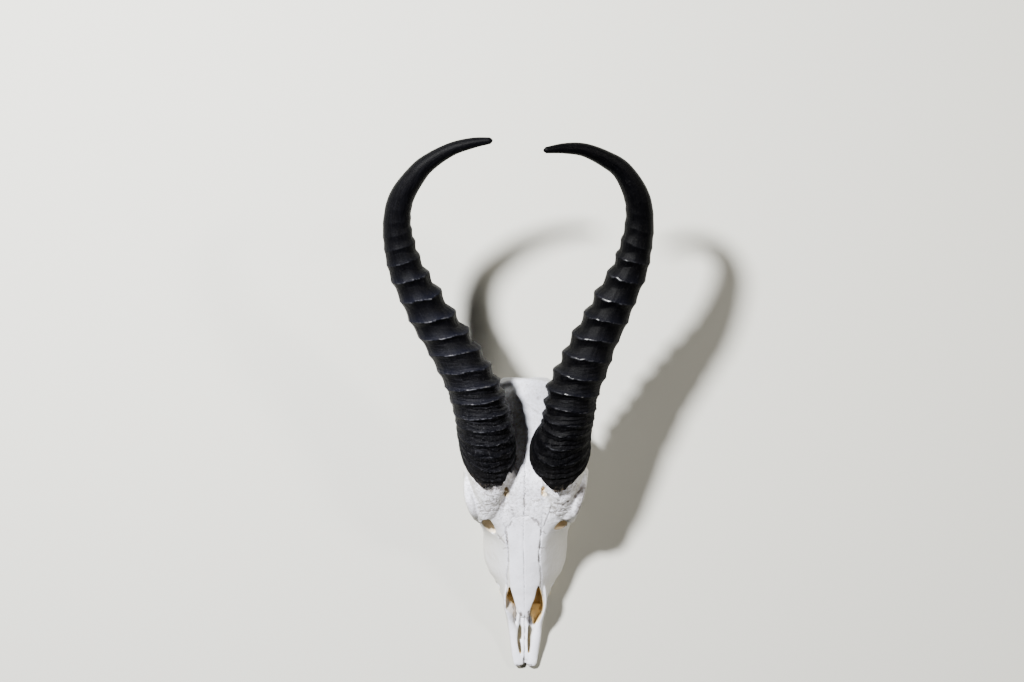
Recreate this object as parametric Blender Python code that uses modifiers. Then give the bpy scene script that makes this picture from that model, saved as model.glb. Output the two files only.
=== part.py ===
"""The skull of a grown springbok ram with its two horn sheaths, without the lower jaw.

It lies as it would on a table, on its cheek teeth and on the two bony points beside the neck joint.
The nose points towards -Y, the horns lean back towards +Y, +X is the animal's own left side and
+Z is up. The origin is the middle of the bounding box's bottom.
"""

import math

import bmesh
import bpy
import numpy as np
from mathutils import Matrix, Vector

# Driving dimensions, in metres. Every size below is in the millimetres of a skull this wide.
ORBITAL_WIDTH = 0.095
MM = ORBITAL_WIDTH / 95
GAP = 0.00032

# Horn sheaths: path, radius and rings
HORN_SIDES = 12
HORN_DEPTH = 1.08
FIRST_RING = 5.0
RING_COUNT = 19
RING_PITCH_BASE = 7.0
RING_PITCH_MIDDLE = 15.5
RING_HEIGHT_INNER = 2.3
RING_HEIGHT_OUTER = 0.7
# A ring's profile: share of its pitch from its lower edge, and share of its height there
RING_PROFILE = ((0.0, 0.0), (0.16, 1.0), (0.6, 0.45))
RING_MIDDLE = 0.8
RING_FADE = 0.55
BASE_BLEND = 46.0
TIP_LOOPS = 9

# Cranium
BODY_POINTS = 44
BODY_LOOPS = 60
VOXEL = 1.0
SMOOTH_STEPS = 5
CRANIUM_FACES = 4500

# Cheek teeth: length along the row and width across it, front to back
TEETH = (
    ("premolar_2", 6.6, 5.6, 1),
    ("premolar_3", 7.6, 7.0, 1),
    ("premolar_4", 8.0, 8.6, 1),
    ("molar_1", 11.6, 10.0, 2),
    ("molar_2", 13.4, 10.8, 2),
    ("molar_3", 14.2, 10.4, 2),
)
ROW_START = 57.5
ROW_HALF_WIDTHS = (17.2, 24.0)
TOOTH_SPACING = 0.5
TOOTH_POINTS = 16
SOCKET_TOP = 10.5


def material(name, colour, roughness):
    made = bpy.data.materials.new(name)
    made.use_nodes = True
    shader = made.node_tree.nodes["Principled BSDF"]
    shader.inputs["Base Color"].default_value = (*colour, 1)
    shader.inputs["Roughness"].default_value = roughness
    shader.inputs["Metallic"].default_value = 0
    made.diffuse_color = (*colour, 1)
    return made


def smooth(keys, values, at):
    """A cubic curve through values at keys, read at the places in at."""
    keys, values, at = (np.asarray(part, float) for part in (keys, values, at))
    slopes = np.gradient(values, keys, axis=0)
    at = np.clip(at, keys[0], keys[-1])
    low = np.clip(np.searchsorted(keys, at, side="right") - 1, 0, len(keys) - 2)
    width = keys[low + 1] - keys[low]
    t = (at - keys[low]) / width
    if values.ndim > 1:
        t, width = t[:, None], width[:, None]
    rise = (1 + 2 * t) * (1 - t) ** 2 * values[low] + t**2 * (3 - 2 * t) * values[low + 1]
    bend = t * (1 - t) ** 2 * slopes[low] + t**2 * (t - 1) * slopes[low + 1]
    return rise + width * bend


def closed_curve(points, count):
    """count points on a smooth closed curve through points."""
    points = np.asarray(points, float)
    place = np.arange(count) / count * len(points)
    first = place.astype(int)
    t = (place - first)[:, None]
    before, here, after, beyond = (points[(first + step) % len(points)] for step in (-1, 0, 1, 2))
    straight = 2 * here + (after - before) * t
    bend = (2 * before - 5 * here + 4 * after - beyond) * t**2
    return (straight + bend + (3 * here - before - 3 * after + beyond) * t**3) / 2


def loft(loops, closed=False):
    """A skin over loops of equally many points, capped at both ends unless it closes on itself."""
    shape = bmesh.new()
    rings = [[shape.verts.new(Vector(point) * MM) for point in loop] for loop in loops]
    sides = len(rings[0])
    pairs = list(zip(rings, rings[1:]))
    if closed:
        pairs.append((rings[-1], rings[0]))
    for first, second in pairs:
        for i in range(sides):
            j = (i + 1) % sides
            shape.faces.new((first[i], first[j], second[j], second[i]))
    if not closed:
        shape.faces.new(rings[0])
        shape.faces.new(rings[-1])
    bmesh.ops.recalc_face_normals(shape, faces=shape.faces)
    return shape


def ellipsoid(centre, radii, turn=(0, 0, 0)):
    """A ball stretched to radii, turned by degrees about X, Y and Z, at centre."""
    shape = bmesh.new()
    bmesh.ops.create_icosphere(shape, subdivisions=3, radius=MM)
    turned = Matrix.Identity(4)
    for axis, degrees in zip("XYZ", turn):
        turned = Matrix.Rotation(math.radians(degrees), 4, axis) @ turned
    place = Matrix.Translation(Vector(centre) * MM) @ turned @ Matrix.Diagonal((*radii, 1))
    bmesh.ops.transform(shape, matrix=place, verts=shape.verts)
    return shape


def bar(points, sizes, sides=12, closed=False):
    """A bar along points; sizes holds each point's half width across and half height."""
    points, sizes = np.asarray(points, float), np.asarray(sizes, float)
    if closed:
        path, size = points, sizes
        tangents = np.roll(path, -1, axis=0) - np.roll(path, 1, axis=0)
    else:
        keys = np.arange(len(points))
        at = np.linspace(0, len(points) - 1, 4 * len(points) - 3)
        path, size = smooth(keys, points, at), smooth(keys, sizes, at)
        tangents = np.gradient(path, axis=0)
    loops = []
    for place, (across, up), tangent in zip(path, size, tangents):
        ahead = Vector(tangent).normalized()
        side = ahead.cross((0, 0, 1))
        side = side.normalized() if side.length > 0.1 else Vector((1, 0, 0))
        above = side.cross(ahead)
        angles = [2 * math.pi * i / sides for i in range(sides)]
        loops.append([
            Vector(place) + side * across * math.cos(a) + above * up * math.sin(a) for a in angles
        ])
    return loft(loops, closed)


def mirrored(shape):
    """The same shape on the other side of the skull's middle plane."""
    other = shape.copy()
    bmesh.ops.transform(other, matrix=Matrix.Scale(-1, 4, (1, 0, 0)), verts=other.verts)
    bmesh.ops.reverse_faces(other, faces=other.faces)
    return other


def both_sides(shape):
    return [shape, mirrored(shape)]


def object_from(name, shapes, collection):
    """One object holding the given shapes, which are freed."""
    mesh = bpy.data.meshes.new(name)
    joined = bmesh.new()
    for shape in shapes:
        shape.to_mesh(mesh)
        joined.from_mesh(mesh)
        shape.free()
    joined.to_mesh(mesh)
    joined.free()
    made = bpy.data.objects.new(name, mesh)
    collection.objects.link(made)
    return made


def cutter(name, shapes):
    made = object_from(name, shapes, cutters)
    made.hide_render = True
    made.display_type = "WIRE"
    made.parent = skull
    return made


def cut(target, tool):
    step = target.modifiers.new(tool.name, "BOOLEAN")
    step.operation = "DIFFERENCE"
    step.solver = "EXACT"
    step.object = tool


def settle(target):
    """Replaces the object's mesh by what its modifiers make of it."""
    bpy.context.view_layer.update()
    evaluated = target.evaluated_get(bpy.context.evaluated_depsgraph_get())
    mesh = bpy.data.meshes.new_from_object(evaluated)
    target.modifiers.clear()
    target.data = mesh


# Half sections of the cranium's main body, from the nasal opening back to the nape. At each
# distance from the nose tip: roof middle, roof shoulder, widest point, lower wall, lower edge and
# floor middle, each as distance from the middle plane and height.
BODY = (
    (46, (0, 22), (7, 21), (13.6, 12), (13.2, 8), (9, 7), (0, 9)),
    (56, (0, 28), (9, 27), (17.3, 14), (16.5, 8), (12, 7), (0, 9.5)),
    (67, (0, 33.5), (12, 31), (21.5, 16), (20.5, 8), (15, 7.5), (0, 10)),
    (78, (0, 39), (13.5, 36), (28, 16.5), (26, 8.5), (17.5, 8), (0, 11)),
    (93, (0, 46), (14.5, 43), (32, 18), (29, 8.5), (18.5, 8), (0, 12)),
    (107, (0, 52.8), (16.5, 50), (32.4, 25), (30, 10), (19.5, 8.5), (0, 13)),
    (115, (0, 56.4), (18.5, 54), (33, 38), (31, 13), (19.5, 9), (0, 13.8)),
    (121, (0, 59.3), (20.5, 57.5), (34.5, 48), (29, 17), (18, 11), (0, 14.5)),
    (129, (0, 62.6), (24, 62), (35, 56), (19, 40), (14, 17), (0, 15.5)),
    (138, (0, 66.4), (25, 66.5), (37, 61), (16, 43), (12, 20), (0, 17)),
    (150, (0, 70.5), (26, 71), (40, 65), (15, 44), (11, 22), (0, 20)),
    (163, (0, 69.5), (26, 70.5), (41, 64.5), (20, 45), (12, 22), (0, 20)),
    (177, (0, 65), (23, 62), (32, 50), (27, 28), (13, 17), (0, 16)),
    (194, (0, 60.5), (21, 56), (32, 39), (28, 22), (13, 13), (0, 13)),
    (211, (0, 58), (20, 52), (30.5, 36), (26, 19), (12, 11), (0, 11)),
    (224, (0, 56.5), (17, 49), (26, 34), (22, 19), (10, 13), (0, 13)),
    (231, (0, 50), (11, 45), (17, 33), (14, 24), (7, 20), (0, 20)),
)
NASAL_END = 124
ORBIT_CENTRE = Vector((40.5, 140.5, 48.5))
ORBIT_AHEAD = Vector((5.2, 19.5, 1.5))
ORBIT_UP = Vector((-2.7, 1.0, 18.6))


def body_loops(start, end, count, inset=0.0):
    """Closed sections of the main body, drawn in towards their own middle by inset."""
    stations = [row[0] for row in BODY]
    table = np.array([[part for point in row[1:] for part in point] for row in BODY], float)
    loops = []
    for y in np.linspace(start, end, count):
        half = smooth(stations, table, [y])[0].reshape(-1, 2)
        whole = np.concatenate([half, half[-2:0:-1] * (-1, 1)])
        ring = closed_curve(whole, BODY_POINTS)
        middle = np.array([0, (half[0, 1] + half[-1, 1]) / 2])
        reach = np.linalg.norm(ring - middle, axis=1, keepdims=True)
        ring = middle + (ring - middle) * np.maximum(1 - inset / reach, 0.1)
        loops.append([(x, y, z) for x, z in ring])
    return loops


def nasal_bones():
    """The pair of long nasal bones: a thin arched plate that runs out over the nasal opening."""
    stations = (41.5, 43.5, 46, 53, 59, 65, 78, 92, 108, 118, NASAL_END)
    half_widths = (3.2, 4.0, 5.0, 7.6, 9.6, 11.0, 12.0, 12.2, 13.2, 12.0, 8.0)
    tops = (22.3, 23.8, 25.0, 28.2, 31.0, 34.0, 40.2, 46.8, 53.8, 58.4, 61.0)
    loops = []
    for y in np.linspace(stations[0], stations[-1], 28):
        half, top = smooth(stations, half_widths, [y])[0], smooth(stations, tops, [y])[0]
        fall = 0.22 * half
        across = np.linspace(-1, 1, 11)
        upper = [(half * a, y, top - fall * a * a) for a in across]
        lower = [(0.96 * half * a, y, top - 2.4 - fall * a * a) for a in across[::-1]]
        loops.append(upper + lower)
    return loft(loops)


def premaxilla():
    """One of the two slender front bones: a bar from the cheek wall down to the nose tip."""
    path = ((16.4, 66, 26), (16, 56, 20.5), (14.2, 46, 15.5), (10.6, 36, 11), (8.4, 26, 8.4),
            (7.6, 16, 6.6), (6.1, 7, 5.4), (5.3, 0.9, 4.8))
    sizes = ((1.5, 4.5), (1.4, 4.5), (1.8, 4.2), (3.4, 3.4), (4.4, 3.2), (4.0, 3.0), (4.2, 2.8),
             (3.9, 2.4))
    return bar(path, sizes, 14)


def midline_process():
    """The thin rod beside the middle plane, between the two slots of the palate."""
    path = ((1.75, 46, 9.5), (1.75, 36, 8.2), (1.7, 25, 6.8), (2.4, 13, 6.2))
    return bar(path, ((1.7, 2.4), (1.25, 2.1), (1.15, 1.9), (1.9, 2.2)), 10)


def mouth_roof():
    """The thin floor of the nasal opening, which the front bones' slots cut short."""
    return bar(((0, 52, 9.8), (0, 42, 9), (0, 33, 7.8)), ((13.6, 1.7), (12.6, 1.6), (9, 1.3)), 14)


def inner_shelf():
    """The ledge that rises from the floor beside the middle, under the nasal tip."""
    return bar(((6.4, 31, 8.6), (5.6, 38, 11), (4.6, 47, 13.5)), ((1.4, 2), (1.6, 3), (1.4, 3.4)), 10)


def orbit_rim():
    """The complete ring of bone round the eye socket."""
    angles = np.linspace(0, 2 * math.pi, 36, endpoint=False)
    path, sizes = [], []
    for angle in angles:
        path.append(ORBIT_CENTRE + ORBIT_AHEAD * math.cos(angle) + ORBIT_UP * math.sin(angle))
        heavy = 0.5 + 0.5 * math.cos(angle + 0.6)
        sizes.append((2.6 + 0.9 * heavy, 2.6 + 1.2 * heavy))
    return bar(path, sizes, 10, closed=True)


def cheek_arch():
    """The arch that runs from the cheek under the eye socket back to the jaw joint."""
    path = ((27, 100, 19), (33, 112, 24), (39.5, 124, 27.5), (43.5, 138, 28.5), (45.5, 154, 30),
            (45, 169, 32), (39.5, 182, 33), (30, 192, 33))
    sizes = ((4, 5), (4.5, 6), (4, 6.5), (3.2, 5), (3.2, 5.5), (3.2, 4.6), (4.5, 4.2), (6, 4.5))
    return bar(path, sizes, 12)


def cranium_shapes():
    """Closed shapes that overlap and together give the skull, before they are fused."""
    shapes = [nasal_bones(), mouth_roof()]
    for shape in (
        premaxilla(),
        midline_process(),
        inner_shelf(),
        orbit_rim(),
        cheek_arch(),
        bar(((27, 131, 54), (27, 140, 59), (27, 149, 64.5), (26.8, 158, 65.5), (26.5, 172, 63),
             (27, 189, 58), (22, 201, 51)),
            ((4, 4), (9, 9), (13, 13.5), (17.5, 16), (20.3, 14.5), (17, 9), (5, 3)), 18),
        ellipsoid((34.5, 121.5, 36), (4.5, 4, 9)),
        bar(((30, 126, 56), (32, 138, 62), (33, 150, 66), (33, 160, 66)),
            ((5, 3), (7.5, 3), (9, 4), (10, 6)), 12),
        ellipsoid((42.5, 159, 58), (5.5, 6, 9), (0, 0, 12)),
        ellipsoid((32, 188, 30), (10, 8.5, 6.5)),
        ellipsoid((19, 199, 14), (8, 11, 9), (0, 0, -12)),
        ellipsoid((10.5, 229, 17), (7.6, 8, 9.5), (20, 0, -18)),
        ellipsoid((27, 211, 25), (7, 8, 11)),
        bar(((24.5, 212, 26), (24, 215, 13), (22.5, 215, -1)), ((5, 6), (4, 4.6), (2.8, 3.2)), 10),
        bar(((10.5, 128, 16), (9.6, 142, 15), (9.6, 158, 17)), ((1.8, 6), (1.7, 7), (1.8, 3)), 10),
    ):
        shapes += both_sides(shape)
    crest = ((-29, 214, 36), (-22, 225, 47), (0, 231, 55), (22, 225, 47), (29, 214, 36))
    shapes.append(bar(crest, ((2.6, 3), (3, 3), (3.6, 3.6), (3, 3), (2.6, 3)), 10))
    return shapes


def body_cutters():
    """What is hollowed out of the main body before the finer bones are added to it."""
    side = ((70, 35), (66, 31), (56, 25), (46, 19), (36, 13.5), (30, 10), (30, 70), (75, 70))
    opening = loft([[(x, y, z) for y, z in side] for x in (-30, 30)])
    cavity = loft(body_loops(46.2, 112, 14, inset=2.6))
    front = loft([[(x * 0.84, 38 + 0.1 * i, z) for x, _, z in body_loops(47, 48, 2, 2.6)[0]]
                  for i in (0, 90)])
    shapes = [opening, cavity, front]
    socket = ellipsoid(ORBIT_CENTRE + Vector((1, 0, 0)), (25, 17.6, 17.2), (0, 0, 14))
    shapes += both_sides(socket)
    return shapes


def hole_cutters():
    """Holes and openings cut through the fused cranium."""
    corner_hole = ellipsoid((28.8, 116.6, 43), (5.6, 4.1, 14), (18, 0, -14))
    palate_slot = ellipsoid((3.9, 24, 7), (1.15, 10.5, 9), (0, 0, 2))
    eyebrow_hole = ellipsoid((14.5, 145, 69), (1.7, 3.4, 7))
    cheek_hole = ellipsoid((21, 66, 21), (5, 3.4, 2.2), (0, 20, -20))
    ear_hole = ellipsoid((30, 203, 22), (6, 2.4, 2.4))
    shapes = []
    for shape in (corner_hole, palate_slot, eyebrow_hole, cheek_hole, ear_hole):
        shapes += both_sides(shape)
    neck_hole = ellipsoid((0, 230, 27), (8.6, 26, 8.4), (-12, 0, 0))
    throat = ellipsoid((0, 138, 15), (7.4, 24, 8.5))
    ground = loft([[(x, y, z) for x, y in ((-60, 0), (60, 0), (60, 250), (-60, 250))]
                   for z in (-9, 0)])
    return shapes + [neck_hole, throat, ground]


# The horn sheaths' middle lines from the lower edge to the tip: distance from the middle plane,
# distance from the nose tip, height, and radius over the rings. The two differ a little, as on
# most rams: the right one leans further out and lower.
LEFT_HORN = (
    (26.8, 171, 69, 21.6), (28.1, 188, 78, 20.6), (32.1, 206, 84, 19.5), (36.1, 224.5, 88, 18.5),
    (43.4, 242.5, 92, 17.3), (50.7, 260.5, 95, 16.3), (59.5, 278, 99, 15.2), (67.7, 296, 104, 14),
    (75.9, 313.5, 109, 12.5), (80.6, 331, 114, 11.2), (82.6, 348, 119, 10), (80, 365, 126, 8.9),
    (69.8, 382, 134, 7.1), (58, 390, 140, 6), (42, 396.2, 147, 4.7), (27.4, 397, 152, 3.6),
    (11.8, 395, 157, 1.3),
)
RIGHT_HORN = (
    (27.8, 171, 68, 21), (30.3, 188, 76, 20.4), (34, 206, 81, 19.6), (40, 224.5, 86, 18.7),
    (49, 242.5, 90, 17.8), (59.7, 260.5, 93, 16.6), (71, 278, 97, 15.4), (80.8, 296, 102, 14),
    (89.4, 313.5, 107, 12.4), (93.9, 331, 112, 11), (95.2, 348, 117, 9.8), (91, 365, 123, 8.9),
    (78.4, 382, 131, 7.2), (68, 390.5, 135, 6.2), (53.6, 398, 139, 4.9), (38.6, 402, 142, 3.7),
    (24.2, 403.6, 145, 1.3),
)
HORNS = (("left", 1, LEFT_HORN), ("right", -1, RIGHT_HORN))


def ring_places():
    """Where each ring starts along the middle line: close at the base, wide in the middle."""
    places, at = [], FIRST_RING
    for ring in range(RING_COUNT):
        share = (ring + 0.5) / RING_COUNT
        pitch = RING_PITCH_BASE + (RING_PITCH_MIDDLE - RING_PITCH_BASE) * math.sin(
            math.pi * min(share, 0.98) ** 0.8
        )
        places.append((at, pitch))
        at += pitch
    return places, at


def horn_loops(path, side, clearance=0.0):
    """Sections of one sheath; side is +1 or -1, and clearance makes it that much fatter."""
    keys = np.arange(len(path))
    fine = smooth(keys, path, np.linspace(0, len(path) - 1, 600))
    fine = fine * (side, 1, 1, 1)
    travel = np.concatenate([[0], np.cumsum(np.linalg.norm(np.diff(fine[:, :3], axis=0), axis=1))])
    rings, last = ring_places()
    stops = [(0.0, 0.0)]
    for start, pitch in rings:
        stops += [(start + share * pitch, lift) for share, lift in RING_PROFILE]
    stops += [(at, 0.0) for at in np.linspace(last, travel[-1], TIP_LOOPS)]
    base_plane = Vector((-0.22 * side, 0.4, 0.89)).normalized()
    loops = []
    for at, lift in stops:
        centre = np.array([np.interp(at, travel, fine[:, i]) for i in range(4)])
        ahead = Vector([
            np.interp(at + 4, travel, fine[:, i]) - np.interp(at - 4, travel, fine[:, i])
            for i in range(3)
        ]).normalized()
        outer = ahead.cross((0, 0, 1)).normalized()
        above = outer.cross(ahead)
        level = Vector((0, ahead.y, ahead.z)).normalized()
        tip_share = min(max((at / travel[-1] - 0.5) / 0.25, 0), 1)
        base_share = max(1 - at / BASE_BLEND, 0) ** 1.5
        plane = level.lerp(ahead, tip_share).lerp(base_plane, base_share).normalized()
        fade = 1 - RING_FADE * min(at / last, 1) ** 3
        loop = []
        for i in range(HORN_SIDES):
            angle = 2 * math.pi * i / HORN_SIDES
            inward = 0.5 - 0.5 * side * math.cos(angle)
            bump = RING_HEIGHT_OUTER + (RING_HEIGHT_INNER - RING_HEIGHT_OUTER) * inward
            radius = centre[3] + clearance
            if at <= last:
                radius += fade * bump * (lift - RING_MIDDLE)
            out = outer * radius * math.cos(angle) + above * radius * HORN_DEPTH * math.sin(angle)
            slide = -plane.dot(out) / plane.dot(ahead)
            loop.append(Vector(centre[:3]) + out + ahead * slide)
        loops.append(loop)
    if clearance:
        loops[0] = [point - base_plane * clearance for point in loops[0]]
    return loops


def tooth_outline(length, width, lobes, clearance=0.0):
    """A cheek tooth's grinding outline: ribbed on the cheek side, one or two lobes inside."""
    points = []
    for i in range(TOOTH_POINTS):
        angle = 2 * math.pi * (i + 0.5) / TOOTH_POINTS
        along = math.copysign(abs(math.cos(angle)) ** 0.6, math.cos(angle))
        across = math.copysign(abs(math.sin(angle)) ** 0.6, math.sin(angle))
        if across > 0:
            across *= 0.94 + 0.06 * math.cos(2 * math.pi * lobes * along)
        elif lobes == 2:
            across *= 1 - 0.22 * max(0, 1 - abs(along) / 0.4)
        points.append((
            across * (width / 2 + clearance),
            along * (length / 2 + clearance),
        ))
    return points


def tooth_rows():
    """Yields each tooth's name, side, centre and size, front to back, on both sides."""
    whole = sum(length + TOOTH_SPACING for _, length, _, _ in TEETH)
    y = ROW_START
    for name, length, width, lobes in TEETH:
        y += length / 2
        share = (y - ROW_START) / whole
        x = ROW_HALF_WIDTHS[0] + (ROW_HALF_WIDTHS[1] - ROW_HALF_WIDTHS[0]) * share**0.8
        for word, side in (("left", 1), ("right", -1)):
            yield f"tooth_{word}_{name}", side, (x * side, y), (length, width, lobes)
        y += length / 2 + TOOTH_SPACING


def tooth(side, centre, size, clearance=0.0):
    outline = [(across * side, along) for across, along in tooth_outline(*size, clearance)]
    heights = (-1, SOCKET_TOP + GAP / MM) if clearance else (0, SOCKET_TOP)
    x, y = centre
    return loft([[(x + across, y + along, z) for across, along in outline] for z in heights])


for old in list(bpy.data.objects):
    bpy.data.objects.remove(old)
parts = bpy.data.collections.new("springbok_skull")
cutters = bpy.data.collections.new("cutters")
for collection in (parts, cutters):
    bpy.context.scene.collection.children.link(collection)
skull = bpy.data.objects.new("skull_frame", None)
parts.objects.link(skull)

bone = material("bleached_bone", (0.80, 0.79, 0.75), 0.6)
horn = material("black_horn", (0.022, 0.022, 0.024), 0.42)
enamel = material("tooth_enamel", (0.72, 0.66, 0.52), 0.35)


def make_cranium():
    made = object_from("cranium", [loft(body_loops(BODY[0][0], BODY[-1][0], BODY_LOOPS))], parts)
    for i, shape in enumerate(body_cutters()):
        cut(made, cutter(f"hollow_{i}", [shape]))
    settle(made)
    finer = object_from("finer_bones", cranium_shapes(), parts)
    whole = bmesh.new()
    for mesh in (made.data, finer.data):
        whole.from_mesh(mesh)
    whole.to_mesh(made.data)
    whole.free()
    bpy.data.objects.remove(finer)
    fuse = made.modifiers.new("fuse", "REMESH")
    fuse.mode = "VOXEL"
    fuse.voxel_size = VOXEL * MM
    soften = made.modifiers.new("soften", "SMOOTH")
    soften.factor = 0.5
    soften.iterations = SMOOTH_STEPS
    settle(made)
    for i, shape in enumerate(hole_cutters()):
        cut(made, cutter(f"hole_{i}", [shape]))
    even = made.modifiers.new("even", "REMESH")
    even.mode = "VOXEL"
    even.voxel_size = VOXEL * MM
    settle(made)
    thin = made.modifiers.new("thin", "DECIMATE")
    thin.ratio = CRANIUM_FACES / sum(len(face.vertices) - 2 for face in made.data.polygons)
    settle(made)
    for word, side, path in HORNS:
        shape = loft(horn_loops(path, side, GAP / MM))
        cut(made, cutter(f"horn_room_{word}", [shape]))
    rooms = [tooth(side, at, size, GAP / MM) for _, side, at, size in tooth_rows()]
    for i, room in enumerate(rooms):
        cut(made, cutter(f"socket_{i}", [room]))
    made.data.materials.clear()
    made.data.materials.append(bone)
    return made


def make_horns():
    for word, side, path in HORNS:
        made = object_from(f"horn_sheath_{word}", [loft(horn_loops(path, side))], parts)
        made.data.materials.append(horn)


def make_teeth():
    for name, side, at, size in tooth_rows():
        made = object_from(name, [tooth(side, at, size)], parts)
        made.data.materials.append(enamel)


def place_on_ground():
    """Puts the middle of the bounding box's bottom at the origin."""
    bpy.context.view_layer.update()
    graph = bpy.context.evaluated_depsgraph_get()
    corners = np.array([
        evaluated.matrix_world @ Vector(corner)
        for evaluated in (piece.evaluated_get(graph) for piece in parts.objects if piece.data)
        for corner in evaluated.bound_box
    ])
    low, high = corners.min(axis=0), corners.max(axis=0)
    skull.location = (-(low[0] + high[0]) / 2, -(low[1] + high[1]) / 2, -low[2])


make_cranium()
make_horns()
make_teeth()
for piece in parts.objects:
    if piece.data:
        piece.parent = skull
        piece.data.shade_smooth()
        piece.data.set_sharp_from_angle(angle=math.radians(50))
place_on_ground()
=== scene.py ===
"""The skull of a springbok ram with both horn sheaths, lying on its cheek teeth, seen from above.

Sizes in the sections are millimetres in the skull's own frame: X from its middle plane towards the
animal's left, Y from the nose tip back to the horns' tips, and Z up from the surface it lies on.
"""

import math

import bmesh
import bpy
import numpy as np
from mathutils import Matrix, Vector
from mathutils.bvhtree import BVHTree


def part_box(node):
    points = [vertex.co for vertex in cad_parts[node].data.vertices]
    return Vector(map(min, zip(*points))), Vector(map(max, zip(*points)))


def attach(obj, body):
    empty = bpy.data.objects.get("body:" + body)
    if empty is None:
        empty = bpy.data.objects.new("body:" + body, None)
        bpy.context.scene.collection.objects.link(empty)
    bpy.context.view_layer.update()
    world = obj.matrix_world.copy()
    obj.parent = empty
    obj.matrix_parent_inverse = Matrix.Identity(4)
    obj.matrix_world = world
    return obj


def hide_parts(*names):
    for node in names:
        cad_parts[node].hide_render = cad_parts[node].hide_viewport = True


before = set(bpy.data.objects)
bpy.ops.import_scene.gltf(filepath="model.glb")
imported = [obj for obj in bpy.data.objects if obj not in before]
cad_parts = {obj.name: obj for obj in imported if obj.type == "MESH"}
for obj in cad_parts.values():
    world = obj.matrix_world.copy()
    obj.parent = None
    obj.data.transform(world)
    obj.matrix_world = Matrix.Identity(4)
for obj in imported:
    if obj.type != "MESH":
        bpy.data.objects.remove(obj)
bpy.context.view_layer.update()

# Cranium: one bleached, sun-dried bone with its sutures grown shut. It is fused from lofted
# sections, bars and balls at a fine grain, softened, opened where the real one is open, then carved:
# sutures, pores, veins' holes, tooth bulges and the rough brow patches in front of the horns.
MM = 0.001
# From the skull's own frame to the CAD's, read from where the second molars stand
SECOND_MOLAR_Y = 100.0
molar_left, molar_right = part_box("tooth_left_molar_2"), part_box("tooth_right_molar_2")
SHIFT = np.array([
    (molar_left[1].x + molar_right[0].x) / 2 / MM,
    (molar_left[0].y + molar_left[1].y) / 2 / MM - SECOND_MOLAR_Y,
    0.0,
])
BODY_SIDES = 96
BODY_LOOPS = 130
BAR_SIDES = 24
BAR_LOOPS_A_SPAN = 8
NASAL_MIDDLE = -0.7
NASAL_THICKNESS = 2.4
RIM_LOOPS = 72
SHAFT_SIDES = 48
SHAFT_LOOPS = 6
OUTLINE_POINTS = 60
VOXEL = 0.55
SOFTEN_STEPS = 9
CRANIUM_TRIANGLES = 188000
# Bone: its bleached roof, its flanks, greyer partly from less bleaching and partly as painted shade,
# and its rear, painted greyer as shade; then dust, pores, sutures, and stains among which lie a few
# strokes of painted shade
UPWARD_BONE = (0.88, 0.89, 1.0, 1)
FLANK_BONE_AND_SHADE = (0.53, 0.52, 0.49, 1)
REAR_PAINTED_SHADE = (0.48, 0.5, 0.57, 1)
BONE_DUST = (0.34, 0.32, 0.30, 1)
PORE = (0.13, 0.11, 0.10, 1)
SUTURE = (0.06, 0.052, 0.05, 1)
STAIN_AND_PAINTED_SHADE = (0.09, 0.07, 0.055, 1)
# Inside the openings the bone is unbleached and golden brown, painted brighter as the warm light that
# bounces in there: two shades that mix, and a paler one further back, painted light where the deep nose
# lies in shade
GOLDEN_BROWN = (0.84, 0.59, 0.26, 1)
LIGHT_BROWN = (0.92, 0.72, 0.38, 1)
BACK_BROWN_PAINTED_LIGHT = (0.86, 0.74, 0.56, 1)


def smooth(keys, values, at):
    """A cubic curve through values at keys, read at the places in at."""
    keys, values, at = (np.asarray(part, float) for part in (keys, values, at))
    slopes = np.gradient(values, keys, axis=0)
    at = np.clip(at, keys[0], keys[-1])
    low = np.clip(np.searchsorted(keys, at, side="right") - 1, 0, len(keys) - 2)
    width = keys[low + 1] - keys[low]
    t = (at - keys[low]) / width
    if values.ndim > 1:
        t, width = t[:, None], width[:, None]
    rise = (1 + 2 * t) * (1 - t) ** 2 * values[low] + t**2 * (3 - 2 * t) * values[low + 1]
    bend = t * (1 - t) ** 2 * slopes[low] + t**2 * (t - 1) * slopes[low + 1]
    return rise + width * bend


def ramp(values, low, high):
    """0 below low, 1 above high, and a soft step between; low may be the larger one."""
    t = np.clip((np.asarray(values, float) - low) / (high - low), 0, 1)
    return t * t * (3 - 2 * t)


def closed_curve(points, count):
    """count points on a smooth closed curve through points."""
    points = np.asarray(points, float)
    place = np.arange(count) / count * len(points)
    first = place.astype(int)
    t = (place - first)[:, None]
    before, here, after, beyond = (points[(first + step) % len(points)] for step in (-1, 0, 1, 2))
    straight = 2 * here + (after - before) * t
    bend = (2 * before - 5 * here + 4 * after - beyond) * t**2
    return (straight + bend + (3 * here - before - 3 * after + beyond) * t**3) / 2


def loft(loops, closed=False):
    """A skin over loops of equally many points, capped at both ends unless it closes on itself."""
    shape = bmesh.new()
    rings = [[shape.verts.new((Vector(point) + Vector(SHIFT)) * MM) for point in loop]
             for loop in loops]
    sides = len(rings[0])
    pairs = list(zip(rings, rings[1:]))
    if closed:
        pairs.append((rings[-1], rings[0]))
    for first, second in pairs:
        for i in range(sides):
            j = (i + 1) % sides
            shape.faces.new((first[i], first[j], second[j], second[i]))
    if not closed:
        shape.faces.new(rings[0])
        shape.faces.new(rings[-1])
    bmesh.ops.recalc_face_normals(shape, faces=shape.faces)
    return shape


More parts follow.
